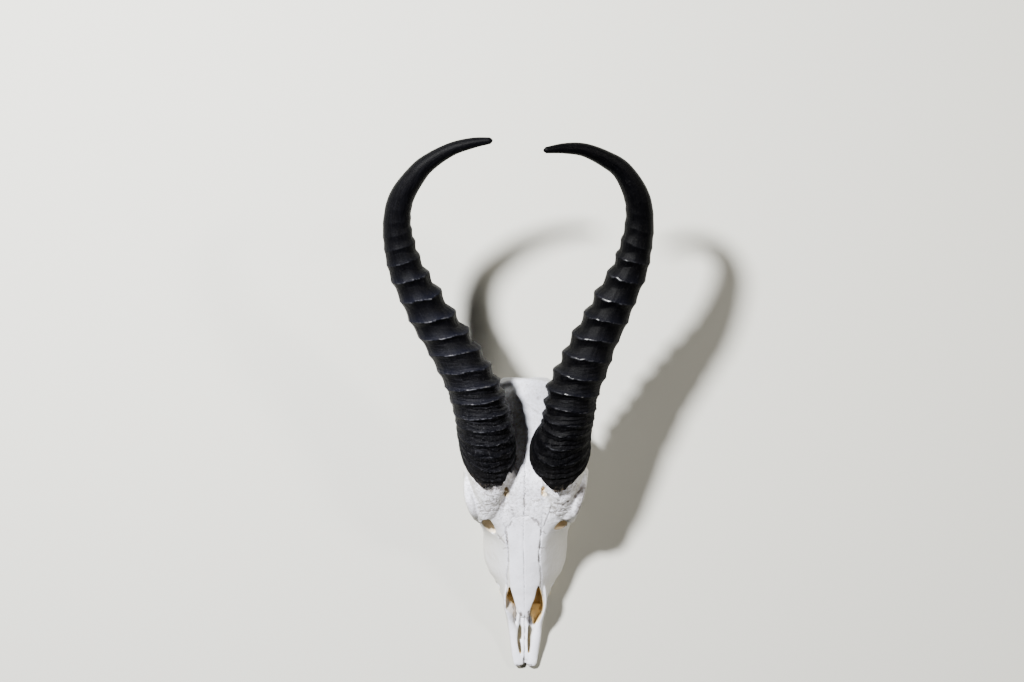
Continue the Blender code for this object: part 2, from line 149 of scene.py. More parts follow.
def ball(centre, radii, turn=(0, 0, 0)):
    """A ball stretched to radii, turned by degrees about X, Y and Z, at centre."""
    shape = bmesh.new()
    bmesh.ops.create_icosphere(shape, subdivisions=4, radius=MM)
    turned = Matrix.Identity(4)
    for axis, degrees in zip("XYZ", turn):
        turned = Matrix.Rotation(math.radians(degrees), 4, axis) @ turned
    place = Matrix.Translation((Vector(centre) + Vector(SHIFT)) * MM) @ turned
    bmesh.ops.transform(shape, matrix=place @ Matrix.Diagonal((*radii, 1)), verts=shape.verts)
    return shape


def bar(points, sizes, closed=False):
    """A bar along points; sizes holds each point's half width across and half height."""
    points, sizes = np.asarray(points, float), np.asarray(sizes, float)
    if closed:
        path, size = points, sizes
        tangents = np.roll(path, -1, axis=0) - np.roll(path, 1, axis=0)
    else:
        keys = np.arange(len(points))
        at = np.linspace(0, len(points) - 1, BAR_LOOPS_A_SPAN * (len(points) - 1) + 1)
        path, size = smooth(keys, points, at), smooth(keys, sizes, at)
        tangents = np.gradient(path, axis=0)
    loops = []
    for place, (across, up), tangent in zip(path, size, tangents):
        ahead = Vector(tangent).normalized()
        side = ahead.cross((0, 0, 1))
        side = side.normalized() if side.length > 0.1 else Vector((1, 0, 0))
        above = side.cross(ahead)
        angles = np.linspace(0, 2 * math.pi, BAR_SIDES, endpoint=False)
        loops.append([
            Vector(place) + side * across * math.cos(a) + above * up * math.sin(a) for a in angles
        ])
    return loft(loops, closed)


def both_sides(shape):
    """The shape, and the same on the other side of the skull's middle plane."""
    other = shape.copy()
    middle = Matrix.Translation((2 * SHIFT[0] * MM, 0, 0))
    bmesh.ops.transform(other, matrix=middle @ Matrix.Scale(-1, 4, (1, 0, 0)), verts=other.verts)
    bmesh.ops.reverse_faces(other, faces=other.faces)
    return [shape, other]


def put_in_scene(name, data):
    """A new object in the scene that holds that mesh, camera or lamp."""
    made = bpy.data.objects.new(name, data)
    bpy.context.scene.collection.objects.link(made)
    return made


def object_from(name, shapes):
    """One object holding the given shapes, which are freed."""
    mesh = bpy.data.meshes.new(name)
    whole = bmesh.new()
    for shape in shapes:
        shape.to_mesh(mesh)
        whole.from_mesh(mesh)
        shape.free()
    whole.to_mesh(mesh)
    whole.free()
    return put_in_scene(name, mesh)


def modify(target, kind, **settings):
    """Adds a modifier of that kind, with its settings."""
    made = target.modifiers.new(kind.lower(), kind)
    for name, value in settings.items():
        setattr(made, name, value)
    return made


def settle(target):
    """Replaces the object's mesh by what its modifiers make of it."""
    bpy.context.view_layer.update()
    evaluated = target.evaluated_get(bpy.context.evaluated_depsgraph_get())
    mesh = bpy.data.meshes.new_from_object(evaluated)
    target.modifiers.clear()
    target.data = mesh


def carve_out(target, shapes, solver):
    """Cuts the closed shapes out of the target, one after another."""
    tools = [object_from("tool", [shape]) for shape in shapes]
    for tool in tools:
        modify(target, "BOOLEAN", operation="DIFFERENCE", solver=solver, object=tool)
    settle(target)
    for tool in tools:
        bpy.data.objects.remove(tool)


# Half sections of the cranium's main body, from the nasal opening back to the nape: roof middle,
# roof shoulder, widest point, lower wall, lower edge and floor middle, each as (x, z).
BODY = (
    (46, (0, 22), (7, 21), (13.6, 12), (13.2, 8), (9, 7), (0, 9)),
    (56, (0, 28), (9, 27), (17.3, 14), (16.5, 8), (12, 7), (0, 9.5)),
    (67, (0, 33.5), (12, 31), (21.5, 16), (20.5, 8), (15, 7.5), (0, 10)),
    (78, (0, 39), (13.5, 36), (28, 16.5), (26, 8.5), (17.5, 8), (0, 11)),
    (93, (0, 46), (14.5, 43), (32, 18), (29, 8.5), (18.5, 8), (0, 12)),
    (107, (0, 52.8), (16.5, 50), (32.4, 25), (30, 10), (19.5, 8.5), (0, 13)),
    (115, (0, 56.4), (18.5, 54), (33, 38), (31, 13), (19.5, 9), (0, 13.8)),
    (121, (0, 59.3), (20.5, 57.5), (34.5, 48), (29, 17), (18, 11), (0, 14.5)),
    (129, (0, 62.6), (24, 62), (35, 56), (19, 40), (14, 17), (0, 15.5)),
    (138, (0, 66.4), (25, 66.5), (37, 61), (16, 43), (12, 20), (0, 17)),
    (150, (0, 70.5), (26, 71), (40, 65), (15, 44), (11, 22), (0, 20)),
    (163, (0, 69.5), (26, 70.5), (41, 64.5), (20, 45), (12, 22), (0, 20)),
    (177, (0, 65), (23, 62), (32, 50), (27, 28), (13, 17), (0, 16)),
    (194, (0, 60.5), (21, 56), (32, 39), (28, 22), (13, 13), (0, 13)),
    (211, (0, 58), (20, 52), (30.5, 36), (26, 19), (12, 11), (0, 11)),
    (224, (0, 56.5), (17, 49), (26, 34), (22, 19), (10, 13), (0, 13)),
    (231, (0, 50), (11, 45), (17, 33), (14, 24), (7, 20), (0, 20)),
)
ORBIT_CENTRE = Vector((40.3, 141.2, 48.5))
ORBIT_UP = Vector((-0.9, 1.0, 17.9))
# Each rim's side, its forward half axis and its bulge outwards: the two are never quite alike
ORBIT_RIMS = ((1, Vector((4.6, 18.4, 1.5)), Vector((2.1, -1.0, 0))),
              (-1, Vector((2.7, 18.4, 1.5)), Vector((4.1, -1.0, 0))))


def body_loops(start, end, count, inset=0.0):
    """Closed sections of the main body, drawn in towards their own middle by inset."""
    stations = [row[0] for row in BODY]
    table = np.array([[part for point in row[1:] for part in point] for row in BODY], float)
    loops = []
    for y in np.linspace(start, end, count):
        half = smooth(stations, table, [y])[0].reshape(-1, 2)
        whole = np.concatenate([half, half[-2:0:-1] * (-1, 1)])
        ring = closed_curve(whole, BODY_SIDES)
        middle = np.array([0, (half[0, 1] + half[-1, 1]) / 2])
        reach = np.linalg.norm(ring - middle, axis=1, keepdims=True)
        ring = middle + (ring - middle) * np.maximum(1 - inset / reach, 0.1)
        loops.append([(x, y, z) for x, z in ring])
    return loops


def nasal_bones():
    """The pair of long nasal bones: a thin arched plate that runs out over the nasal opening."""
    stations = (41.5, 43.5, 46, 53, 59, 65, 78, 92, 108, 118, 124)
    half_widths = (3.2, 4.0, 5.0, 7.6, 9.6, 11.0, 12.0, 12.2, 13.2, 12.0, 8.0)
    tops = (22.3, 23.8, 25.0, 28.2, 31.0, 34.0, 40.2, 46.8, 53.8, 58.4, 61.0)
    loops = []
    for y in np.linspace(stations[0], stations[-1], 80):
        half, top = smooth(stations, half_widths, [y])[0], smooth(stations, tops, [y])[0]
        fall = 0.22 * half
        across = np.linspace(-1, 1, 25)
        upper = [(half * a + NASAL_MIDDLE, y, top - fall * a * a) for a in across]
        lower = [(0.96 * half * a + NASAL_MIDDLE, y, top - NASAL_THICKNESS - fall * a * a)
                 for a in across[::-1]]
        loops.append(upper + lower)
    return loft(loops)


def orbit_rim(side, ahead, bulge):
    """The complete ring of bone round one eye socket."""
    path, sizes = [], []
    for angle in np.linspace(0, 2 * math.pi, RIM_LOOPS, endpoint=False):
        place = ORBIT_CENTRE + ahead * math.cos(angle) + ORBIT_UP * math.sin(angle)
        place += bulge * math.sin(angle) ** 2
        path.append((side * place.x, place.y, place.z))
        heavy = 0.5 + 0.5 * math.cos(angle + 0.6)
        roof = max(math.sin(angle), 0)
        sizes.append((2.6 + 0.9 * heavy + 0.7 * roof, 2.6 + 1.2 * heavy - 0.3 * roof))
    return bar(path, sizes, closed=True)


def cranium_shapes():
    """Closed shapes that overlap and together give the skull, before they are fused."""
    premaxilla = bar(
        ((13.6, 73, 27), (15.3, 64, 24), (15.9, 55, 20), (14.6, 46, 15.5), (11.2, 36, 11),
         (8.8, 26, 8.4), (7.4, 16, 6.2), (5.6, 7, 4.5), (5.0, 3, 3.9), (4.8, 0.2, 3.6)),
        ((1.2, 3), (1.4, 4), (1.5, 4.4), (1.6, 4.2), (3.0, 3.4), (4.2, 3.2), (4.2, 3.0), (4.6, 2.6),
         (4.6, 2.2), (3.1, 1.4)))
    midline_process = bar(
        ((1.75, 46, 9.5), (1.75, 36, 8.2), (1.7, 25, 6.8), (1.9, 14, 5.9), (2.1, 6, 4.6)),
        ((1.7, 2.4), (1.25, 2.1), (1.25, 1.9), (2.0, 2.1), (1.7, 1.9)))
    inner_shelf = bar(((6.4, 31, 8.0), (5.6, 38, 9.5), (4.6, 47, 11)),
                      ((1.4, 2), (1.6, 2.6), (1.4, 2.8)))
    cheek_arch = bar(
        ((25, 100, 19), (29.3, 112, 24), (34.6, 124, 27.5), (41, 138, 28.5), (44.5, 154, 30),
         (44.5, 169, 32), (39.5, 182, 33), (30, 192, 33)),
        ((4, 5), (4.5, 6), (4, 6.5), (3.2, 5), (3.2, 5.5), (3.2, 4.6), (4.5, 4.2), (6, 4.5)))
    horn_core = bar(
        ((26, 123, 49), (26.5, 131, 53.5), (27, 140, 59.5), (27, 149, 64.5), (26.8, 158, 65.5),
         (26.5, 172, 63), (27, 189, 58), (22, 201, 51)),
        ((5, 6), (10, 9.6), (12, 11.2), (14.5, 13.2), (17.5, 16), (20.3, 14.5), (17, 9), (5, 3)))
    brow = bar(((30.5, 124, 55.5), (32, 131, 60), (32.5, 139, 64), (33, 150, 67), (33, 160, 67)),
               ((5, 3.4), (6.4, 3.6), (7.5, 4), (9, 4.4), (10, 6)))
    brow_rim = bar(
        ((33.6, 121.5, 51), (35.4, 130, 58), (37, 140, 62.4), (38.6, 152, 64.2), (40.5, 160, 62)),
        ((3, 3.4), (4.6, 3.2), (5.2, 3.6), (5.2, 3.8), (5, 4)))
    neck_point = bar(((24.5, 212, 26), (24, 215, 13), (22.5, 215, -1)), ((5, 6), (4, 4.6), (2.8, 3.2)))
    throat_wing = bar(((10.5, 128, 16), (9.6, 142, 15), (9.6, 158, 17)), ((1.8, 6), (1.7, 7), (1.8, 3)))
    palate = bar(((0, 52, 9.8), (0, 42, 9), (0, 33, 7.8)), ((13.6, 1.7), (12.6, 1.6), (9, 1.3)))
    nape_crest = bar(((-29, 213, 36), (-22, 223.5, 45), (0, 227.4, 51), (22, 223.5, 45), (29, 213, 36)),
                     ((2.6, 3), (3.4, 3), (3.7, 3.2), (3.4, 3), (2.6, 3)))
    nose_floor_right = bar(((-13.4, 58, 17.0), (-13.2, 50, 15.8), (-11.2, 39, 10.8)),
                           ((3.8, 4.8), (3.4, 5.0), (3.4, 3.8)))
    shapes = [nasal_bones(), palate, nape_crest, nose_floor_right]
    shapes += [orbit_rim(*rim) for rim in ORBIT_RIMS]
    for shape in (
        premaxilla, midline_process, inner_shelf, cheek_arch, horn_core, brow, brow_rim,
        neck_point, throat_wing,
        ball((34.5, 121.5, 36), (4.5, 4, 9)),
        ball((36.2, 124.6, 49.5), (3.0, 3.6, 3.6)),
        ball((42.5, 159, 58), (5.5, 6, 9), (0, 0, 12)),
        ball((32, 188, 30), (10, 8.5, 6.5)),
        ball((19, 199, 14), (8, 11, 9), (0, 0, -12)),
        ball((10.5, 221.6, 17), (7.6, 7.4, 9.5), (20, 0, -18)),
        ball((27, 211, 25), (7, 8, 11)),
    ):
        shapes += both_sides(shape)
    return shapes


def body_hollows():
    """What is hollowed out of the main body before the finer bones are added to it."""
    side = ((70, 35), (66, 31), (56, 25), (46, 19), (36, 13.5), (30, 10), (30, 70), (75, 70))
    opening = loft([[(x, y, z) for y, z in side] for x in (-30, 30)])
    cavity = loft(body_loops(46.2, 112, 40, inset=2.6))
    front = loft([[(x * 0.84, 38 + 0.1 * i, z) for x, _, z in body_loops(47, 48, 2, 2.6)[0]]
                  for i in (0, 90)])
    socket = ball(ORBIT_CENTRE + Vector((1, 0, 0)), (25, 16.6, 17.2), (0, 0, 14))
    return [opening, cavity, front] + both_sides(socket)


# Outlines of the nasal openings and of the holes at the brow's corners, seen from above: the
# animal's left ones and its right ones, which a skull never has quite alike
NOSE_LEFT = ((10.6, 68.2), (12.9, 59.5), (14.0, 50.6), (12.9, 43.0), (10.6, 37.2), (8.0, 32.6),
             (6.7, 35.2), (5.3, 40.3), (3.7, 47.6), (7.4, 58.4), (8.9, 65))
NOSE_RIGHT = ((-12.2, 68.2), (-13.9, 60), (-15.1, 51.8), (-14.9, 46.5), (-13.2, 40), (-11.5, 36),
              (-9.4, 38), (-7.4, 44), (-7.0, 49), (-8.7, 56.5), (-10.6, 63))
CORNER_LEFT = ((22.9, 114.9), (24.6, 118.6), (27.2, 121), (31.0, 120.4), (31, 116.4), (27.3, 114.6))
CORNER_RIGHT = ((-33.4, 119.4), (-31.7, 121.4), (-26.9, 121.3), (-23.8, 113.0), (-27.5, 111.4),
                (-32.0, 115.6))
# The deep part of the right nasal opening, beside a floor that rises towards its outer wall
NOSE_RIGHT_DEEP = ((-12.2, 68.2), (-13.9, 61), (-13.4, 57.8), (-10.8, 54.0), (-9.0, 49.6),
                   (-7.2, 47.4), (-8.7, 56.5), (-10.6, 63))


def shaft(outline, low, high, spread=0.0, climb=0.0):
    """An upright shaft of that outline, wider at its foot by spread, which climbs towards -X."""
    middle = np.mean(outline, axis=0)
    ring = closed_curve(outline, SHAFT_SIDES)
    loops = []
    for z in np.linspace(low, high, SHAFT_LOOPS):
        wider = middle + (ring - middle) * (1 + spread * (high - z) / (high - low))
        lift = climb if z == low else 0.0
        loops.append([(x, y, z - lift * (at + 10)) for (x, y), at in zip(wider, ring[:, 0])])
    return loft(loops)


def holes():
    """Holes and openings cut through the fused cranium."""
    shapes = [
        shaft(NOSE_LEFT, 12.5, 60), shaft(NOSE_RIGHT, 16.6, 60, climb=0.75),
        shaft(NOSE_RIGHT_DEEP, 13.5, 20),
        shaft(CORNER_LEFT, 42, 75, 0.2), shaft(CORNER_RIGHT, 42, 75, 0.2),
        ball((-14.9, 147.1, 70), (1.2, 1.9, 4.6), (0, 0, 20)),
        ball((-15.6, 143.6, 70), (1.1, 1.9, 4.4), (0, 0, -30)),
        ball((13.4, 147.2, 70), (1.3, 2.0, 4.6), (0, 0, -14)),
        ball((12.9, 143.4, 70), (0.9, 2.0, 4.2), (0, 0, 8)),
        ball((-0.9, 138.8, 67.5), (0.5, 0.7, 1.6)),
        ball((-4.9, 26.6, 7), (1.25, 8.2, 9), (0, 0, -6)),
        ball((-4.5, 17.4, 7), (1.25, 7.4, 9), (0, 0, 7)),
        ball((3.1, 22.6, 7), (1.3, 12.4, 9), (0, 0, -1)),
        ball((0, 230, 27), (8.6, 26, 8.4), (-12, 0, 0)),
        ball((0, 138, 15), (7.4, 24, 8.5)),
        loft([[(x, y, z) for x, y in ((-60, 0), (60, 0), (60, 250), (-60, 250))] for z in (-9, 0)]),
    ]
    for shape in (
        ball((22.5, 66, 14.5), (3.6, 2.8, 2.0), (0, 10, -20)),
        ball((30, 203, 22), (6, 2.4, 2.4)),
    ):
        shapes += both_sides(shape)
    return shapes


def read_points(mesh):
    """The mesh's points in the skull's frame, in millimetres."""
    flat = np.empty(len(mesh.vertices) * 3, np.float32)
    mesh.vertices.foreach_get("co", flat)
    return flat.reshape(-1, 3).astype(float) / MM - SHIFT


def write_points(mesh, points):
    mesh.vertices.foreach_set("co", ((points + SHIFT) * MM).astype(np.float32).ravel())
    mesh.update()


def read_normals(mesh):
    flat = np.empty(len(mesh.vertices) * 3, np.float32)
    mesh.vertex_normals.foreach_get("vector", flat)
    return flat.reshape(-1, 3).astype(float)


def write_attribute(mesh, name, values):
    """Keeps one number, or three, for each point of the mesh, for its material to read."""
    values = np.asarray(values, np.float32)
    kind, field = ("FLOAT", "value") if values.ndim == 1 else ("FLOAT_VECTOR", "vector")
    mesh.attributes.new(name, kind, "POINT").data.foreach_set(field, values.ravel())


def lumps(points, size, seed):
    """Smooth random heights from -1 to 1, with lumps about size wide."""
    table = np.random.default_rng(seed).uniform(-1, 1, 4096)
    place = np.asarray(points, float) / size
    cell = np.floor(place).astype(np.int64)
    t = place - cell
    t = t * t * (3 - 2 * t)
    total = np.zeros(len(place))
    for corner in np.ndindex(2, 2, 2):
        at = cell + corner
        value = table[(at[:, 0] * 73856093 ^ at[:, 1] * 19349663 ^ at[:, 2] * 83492791) % len(table)]
        total += value * np.prod(np.where(np.array(corner) == 1, t, 1 - t), axis=1)
    return total


# Sutures seen on the roof, as points along them, and on each cheek, as (y, z)
NASAL_SEAM = ((44, -0.6), (65, -0.6), (78, -1.1), (90, -1.1), (100, -1.7), (111, -1.6), (123, -1.5),
              (126, -0.8), (139, -0.9), (146, -0.7), (158, -1.1), (168, -0.9), (182, -0.4))
CHEEK_SEAM_LEFT = ((66, 12.3), (76, 12.2), (83, 11.7), (90, 10.5), (96, 10.5), (101, 10.9),
                   (106, 11.6), (113, 11.9), (121, 12.2), (127, 12.9))
CHEEK_SEAM_RIGHT = ((66, 14.3), (78, 14.3), (85, 13.5), (93, 13.1), (99, 13.3), (102, 13.5),
                    (106, 14.3), (112, 15.4), (116, 15.0), (119, 13.5))
NASAL_REAR = ((-13.5, 119.3), (-11.2, 123.3), (-6.6, 125.3), (-1.2, 125.7), (4.1, 124.9),
              (8, 122.5), (11.1, 117.7))
TIP_SEAM = ((0, -0.5), (8, -0.7), (14, -0.3), (30, -0.2), (46, -0.4))
BROW_SEAM = ((110, 11.9), (114, 12.1), (119, 14.6), (125, 17.0), (131, 18.8), (137, 19.6))


def up_tip(points, normals):
    """1 on the upper side of the nose's tip, where the two halves meet."""
    return ramp(normals[:, 2], 0.2, 0.6) * ramp(points[:, 2], 3, 5)


def seams(points, normals):
    """How far each point is across the nearest suture of three families, and how much it shows."""
    x, y, z = points.T
    up = ramp(normals[:, 2], 0.25, 0.6) * ramp(z, 12, 18)
    wander = 0.16 * lumps(points, 2.2, 3) + 0.1 * lumps(points, 0.9, 4)
    ragged = ramp(y, 124, 128)
    # Along the middle: fine between the nasals, ragged over the brow, and open at the nose tip
    middle = x - np.interp(y, *zip(*NASAL_SEAM)) + wander * (1 + 5 * ragged)
    middle_show = up * ramp(y, 47, 56) * ramp(y, 186, 176) * (0.75 + 0.25 * ragged)
    tip = x - np.interp(y, *zip(*TIP_SEAM)) + wander
    middle = np.where(y < 45, tip, middle)
    middle_show = middle_show + up_tip(points, normals) * ramp(y, 46, 42)
    # Between the nasals and each cheek, wider where it stands open
    left = x - np.interp(y, *zip(*CHEEK_SEAM_LEFT))
    right = -x - np.interp(y, *zip(*CHEEK_SEAM_RIGHT))
    side = np.where(x > 0, left, right) + wander * 1.5
    open_left = ramp(y, 84, 87) * ramp(y, 117, 113)
    open_right = ramp(y, 100, 103) * ramp(y, 114, 110)
    side_show = up * ramp(y, 64, 68) * np.where(x > 0, ramp(y, 127, 122), ramp(y, 120, 116))
    side_show = side_show * (0.5 + 0.5 * np.where(x > 0, open_left, open_right))
    # Behind the nasals, and in dots along both sides of the brow
    rear = y - np.interp(x, *zip(*NASAL_REAR)) + wander * 9
    rear_show = up * ramp(x, -14, -11.5) * ramp(x, 11.5, 9.5) * 0.5
    dotted = x - np.interp(y, *zip(*BROW_SEAM)) + wander * 3
    dotted_show = up * ramp(y, 112, 116) * ramp(y, 137, 131) * 0.7 * (x > 5)
    mirrored = -x - 2.5 - np.interp(y, *zip(*BROW_SEAM)) + wander * 3
    mirrored_show = up * ramp(y, 112, 118) * ramp(y, 134, 128) * 0.45 * (x < -5)
    brow = np.where(x > 5, dotted, np.where(x < -5, mirrored, 9))
    brow_show = dotted_show + mirrored_show
    on_brow = (np.abs(brow) < np.abs(rear)) & (brow_show > 0.02)
    third = np.where(on_brow, brow, rear)
    third_show = np.where(on_brow, brow_show, rear_show)
    return (np.column_stack([middle, side, third]),
            np.column_stack([middle_show, side_show, third_show]))


def patch(points, centre, radii):
    """1 in the middle of an oval on the roof, falling to 0 at its rim."""
    off = (points[:, :2] - centre) / radii
    return ramp(np.linalg.norm(off, axis=1), 1.15, 0.55)


def rough_areas(points, normals):
    """Where the bone is porous: the brow in front of each horn, and the seat of the sheaths."""
    up = ramp(normals[:, 2], 0.1, 0.4)
    brow = patch(points, (-27.5, 134.5), (10, 9)) + patch(points, (26, 132.5), (9.5, 8))
    small = 0.8 * patch(points, (8.5, 138.5), (5, 2.4)) + 0.5 * patch(points, (-14, 134), (5, 6))
    seat = patch(points, (-27, 152), (17, 10)) + patch(points, (27, 152), (17, 10))
    everywhere = 0.44 * ramp(points[:, 1], 112, 128) * ramp(points[:, 2], 30, 45)
    everywhere -= 0.16 * ramp(points[:, 1], 160, 180)
    return np.clip((brow + small + 0.8 * seat) * up + everywhere, 0, 1)


# Cracks and stained pits on the upper side, and a few strokes of painted shade: both ends, width and
# strength
MARKS = (
    # Nose tip: painted shade along the front edge of both ends, and the groove between them
    (-0.6, 0.6, -0.75, 7.5, 0.45, 0.9), (-6.4, 0.9, -2.2, 0.7, 0.7, 0.9),
    (1.6, 1.0, 5.2, 0.9, 0.7, 0.8),
    # Rear ends of the palatal slits
    (-3.8, 44.0, -3.5, 33.0, 0.5, 0.35), (3.0, 44.0, 3.2, 33.0, 0.55, 0.4),
    (-3.7, 45.0, -3.4, 44.0, 1.1, 1.0), (2.8, 46.4, 2.9, 44.4, 1.0, 1.0),
    # Across the cheeks' seams
    (-13.2, 96.0, -13.4, 86.0, 0.4, 0.45), (-17.4, 98.3, -12.9, 99.7, 0.45, 0.55),
    (9.9, 99.8, 14.3, 99.5, 0.45, 0.55), (-19.8, 106.6, -18.6, 106.9, 0.8, 0.7),
    (-21.0, 109.0, -16.5, 103.5, 0.6, 0.7), (-15.0, 112.0, -18.9, 108.0, 0.45, 0.5),
    (-14.5, 112.6, -13.7, 104.5, 0.5, 0.8), (11.9, 114.0, 15.8, 111.0, 0.45, 0.5),
    # Rear ends of the nasals
    (-3.6, 118.6, -1.8, 117.4, 0.5, 0.3), (9.4, 118.8, 11.0, 116.8, 0.6, 0.7),
    (-10.6, 121.0, -13.0, 116.6, 0.7, 0.7), (9.0, 121.8, 10.6, 119.6, 0.8, 0.6),
    (8.4, 122.6, 10.5, 118.4, 0.7, 0.9), (4.5, 123.6, 7.4, 121.4, 0.6, 0.7),
    # Brow, towards the animal's right
    (-9.8, 127.8, -9.6, 127.4, 0.9, 0.6), (-35.0, 129.6, -21.0, 130.2, 0.6, 0.5),
    (-10.4, 130.6, -10.2, 130.2, 1.0, 0.7), (-36.6, 133.8, -34.0, 131.8, 0.9, 0.4),
    (-22.0, 139.6, -21.6, 139.0, 0.6, 0.5), (-24.6, 141.0, -23.6, 138.2, 0.6, 0.6),
    (-22.5, 143.8, -19.5, 142.6, 0.8, 0.6), (-30.5, 144.6, -28.8, 143.4, 0.9, 0.5),
    (-27.0, 145.9, -26.0, 145.4, 0.9, 0.6), (-29.0, 146.6, -21.0, 147.2, 1.3, 0.4),
    (-33.5, 150.0, -29.0, 146.6, 1.2, 0.35),
    # Brow, along the middle seam
    (-1.1, 134.2, -0.9, 133.8, 0.7, 0.6), (-2.2, 134.6, 0.6, 135.0, 0.6, 0.6),
    (-1.0, 138.6, -0.8, 137.6, 0.9, 0.9), (-0.9, 141.6, -1.0, 136.0, 0.7, 0.8),
    # Brow, towards the animal's left, with painted shade over the outer rim of that eye socket
    (15.2, 127.6, 15.8, 127.0, 0.8, 0.7), (19.0, 128.4, 31.0, 130.0, 0.6, 0.5),
    (6.6, 128.6, 7.0, 131.8, 0.5, 0.4), (41.2, 129.0, 43.4, 147.0, 3.0, 0.8),
    (20.6, 131.6, 24.0, 132.4, 0.6, 0.5), (28.2, 134.8, 32.4, 137.6, 0.8, 0.7),
    (22.0, 136.2, 26.5, 135.6, 0.7, 0.6), (24.6, 138.8, 25.4, 138.4, 0.8, 0.8),
    (15.0, 143.6, 17.6, 142.2, 0.9, 0.8), (41.2, 145.4, 37.4, 140.7, 1.1, 0.95),
    # Brain case
    (1.1, 211.2, 11.1, 203.5, 0.7, 0.35), (9.3, 215.8, 9.8, 215.2, 0.9, 0.4),
)


def stains_and_painted_shade(points, normals):
    """How dark each point is from the cracks and pits of the upper side, and from the strokes of
    painted shade among them.
    """
    place = points[:, :2] + 0.5 * np.column_stack([lumps(points, 1.6, 21), lumps(points, 1.6, 22)])
    total = np.zeros(len(points))
    for x0, y0, x1, y1, width, strength in MARKS:
        along = np.array([x1 - x0, y1 - y0])
        t = np.clip(((place - (x0, y0)) @ along) / (along @ along), 0, 1)
        gap = np.linalg.norm(place - (x0, y0) - t[:, None] * along, axis=1)
        total = np.maximum(total, strength * ramp(gap, 1.5 * width, 0.6 * width))
    total *= 0.6 + 0.4 * ramp(lumps(points, 0.9, 23), -0.5, 0.3)
    return total * ramp(normals[:, 2], 0.0, 0.3) * ramp(points[:, 2], 1.5, 2.5)


def carve(points, normals):
    """Moves the points of the smooth cranium along their normals to give it a real bone's relief."""
    x, y, z = points.T
    side = np.abs(x)
    across, show = seams(points, normals)
    rough = rough_areas(points, normals)
    # Broad unevenness first, then grooves with raised lips along the sutures, cracks and pits
    push = 0.22 * lumps(points, 11, 11) + 0.1 * lumps(points, 4.3, 12) + 0.04 * lumps(points, 1.7, 13)
    push -= (np.array((0.3, 0.42, 0.2)) * np.exp(-(across / 0.55) ** 2) * show).sum(axis=1)
    push += (0.1 * np.exp(-((np.abs(across) - 1.3) / 0.7) ** 2) * show).sum(axis=1)
    push -= 0.35 * stains_and_painted_shade(points, normals)
    push -= 0.5 * np.exp(-(across[:, 0] / 0.5) ** 2) * ramp(y, 9, 6) * up_tip(points, normals)
    pits = ramp(lumps(points, 1.15, 14) + 0.5 * lumps(points, 0.7, 15), 0.25, 0.8)
    push -= rough * (0.34 * pits - 0.12 * lumps(points, 2.4, 16))
    # The groove that runs forward from each vein hole, and the low swellings beside it
    for sign, at in ((-1, 15.4), (1, 13.4)):
        lane = np.exp(-((sign * x - at - 0.10 * (142 - y)) / 2.0) ** 2)
        push -= 0.75 * lane * ramp(y, 118, 134) * ramp(y, 152, 143) * (z > 55)
    push += 0.5 * patch(points, (-1.2, 160), (5.5, 9)) * (z > 60)
    push += 0.35 * patch(points, (-11, 130), (5, 5)) + 0.3 * patch(points, (9, 131), (5, 6))
    # Bulges over the roots of the cheek teeth, and the ridge they stand under
    for tooth_y, length in ((60.8, 6.6), (68.4, 7.6), (76.7, 8.0), (87, 11.6), (100, 13.4),
                            (114.3, 14.2)):
        bulge = np.exp(-((y - tooth_y) / (0.3 * length)) ** 2)
        push += 0.55 * bulge * ramp(z, 17, 11) * ramp(side, 14, 17) * ramp(z, 5, 8)
    # Faint strands of bone along the nasals and cheeks
    strands = lumps(points * (1.6, 0.09, 1.6), 1.0, 17)
    push += 0.05 * strands * ramp(y, 130, 100)
    # The line along the brain case's flank where the temple's muscle began
    scar = np.exp(-((z - 47 + 0.1 * (y - 190)) / 2.2) ** 2)
    push -= 0.8 * scar * ramp(y, 168, 178) * ramp(y, 224, 214)
    push *= ramp(z, 0.3, 1.6)
    return points + normals * push[:, None]


def sunk(points):
    """How far each point lies inside the outer form of the cranium's main body."""
    skin = loft(body_loops(BODY[0][0], BODY[-1][0], BODY_LOOPS))
    tree = BVHTree.FromBMesh(skin)
    depth = np.zeros(len(points))
    for i, point in enumerate((points + SHIFT) * MM):
        place, normal, _, distance = tree.find_nearest(point)
        depth[i] = distance if (Vector(point) - place).dot(normal) < 0 else -distance
    skin.free()
    return depth / MM


def within(points, outline, margin=0.0):
    """1 inside an outline seen from above, falling to 0 over a millimetre past its margin."""
    ring = closed_curve(outline, OUTLINE_POINTS)
    ends = np.roll(ring, -1, axis=0)
    here = points[:, None, :2]
    along = ends - ring
    t = np.clip(((here - ring) * along).sum(axis=2) / (along**2).sum(axis=1), 0, 1)
    gap = np.linalg.norm(here - ring - t[..., None] * along, axis=2).min(axis=1)
    crossing = (ring[:, 1] > here[..., 1]) != (ends[:, 1] > here[..., 1])
    slope = along[:, 0] / np.where(along[:, 1] == 0, 1e-9, along[:, 1])
    hit = crossing & (here[..., 0] < ring[:, 0] + (here[..., 1] - ring[:, 1]) * slope)
    signed = np.where(hit.sum(axis=1) % 2 == 1, -gap, gap)
    return ramp(signed, margin + 0.8, margin)


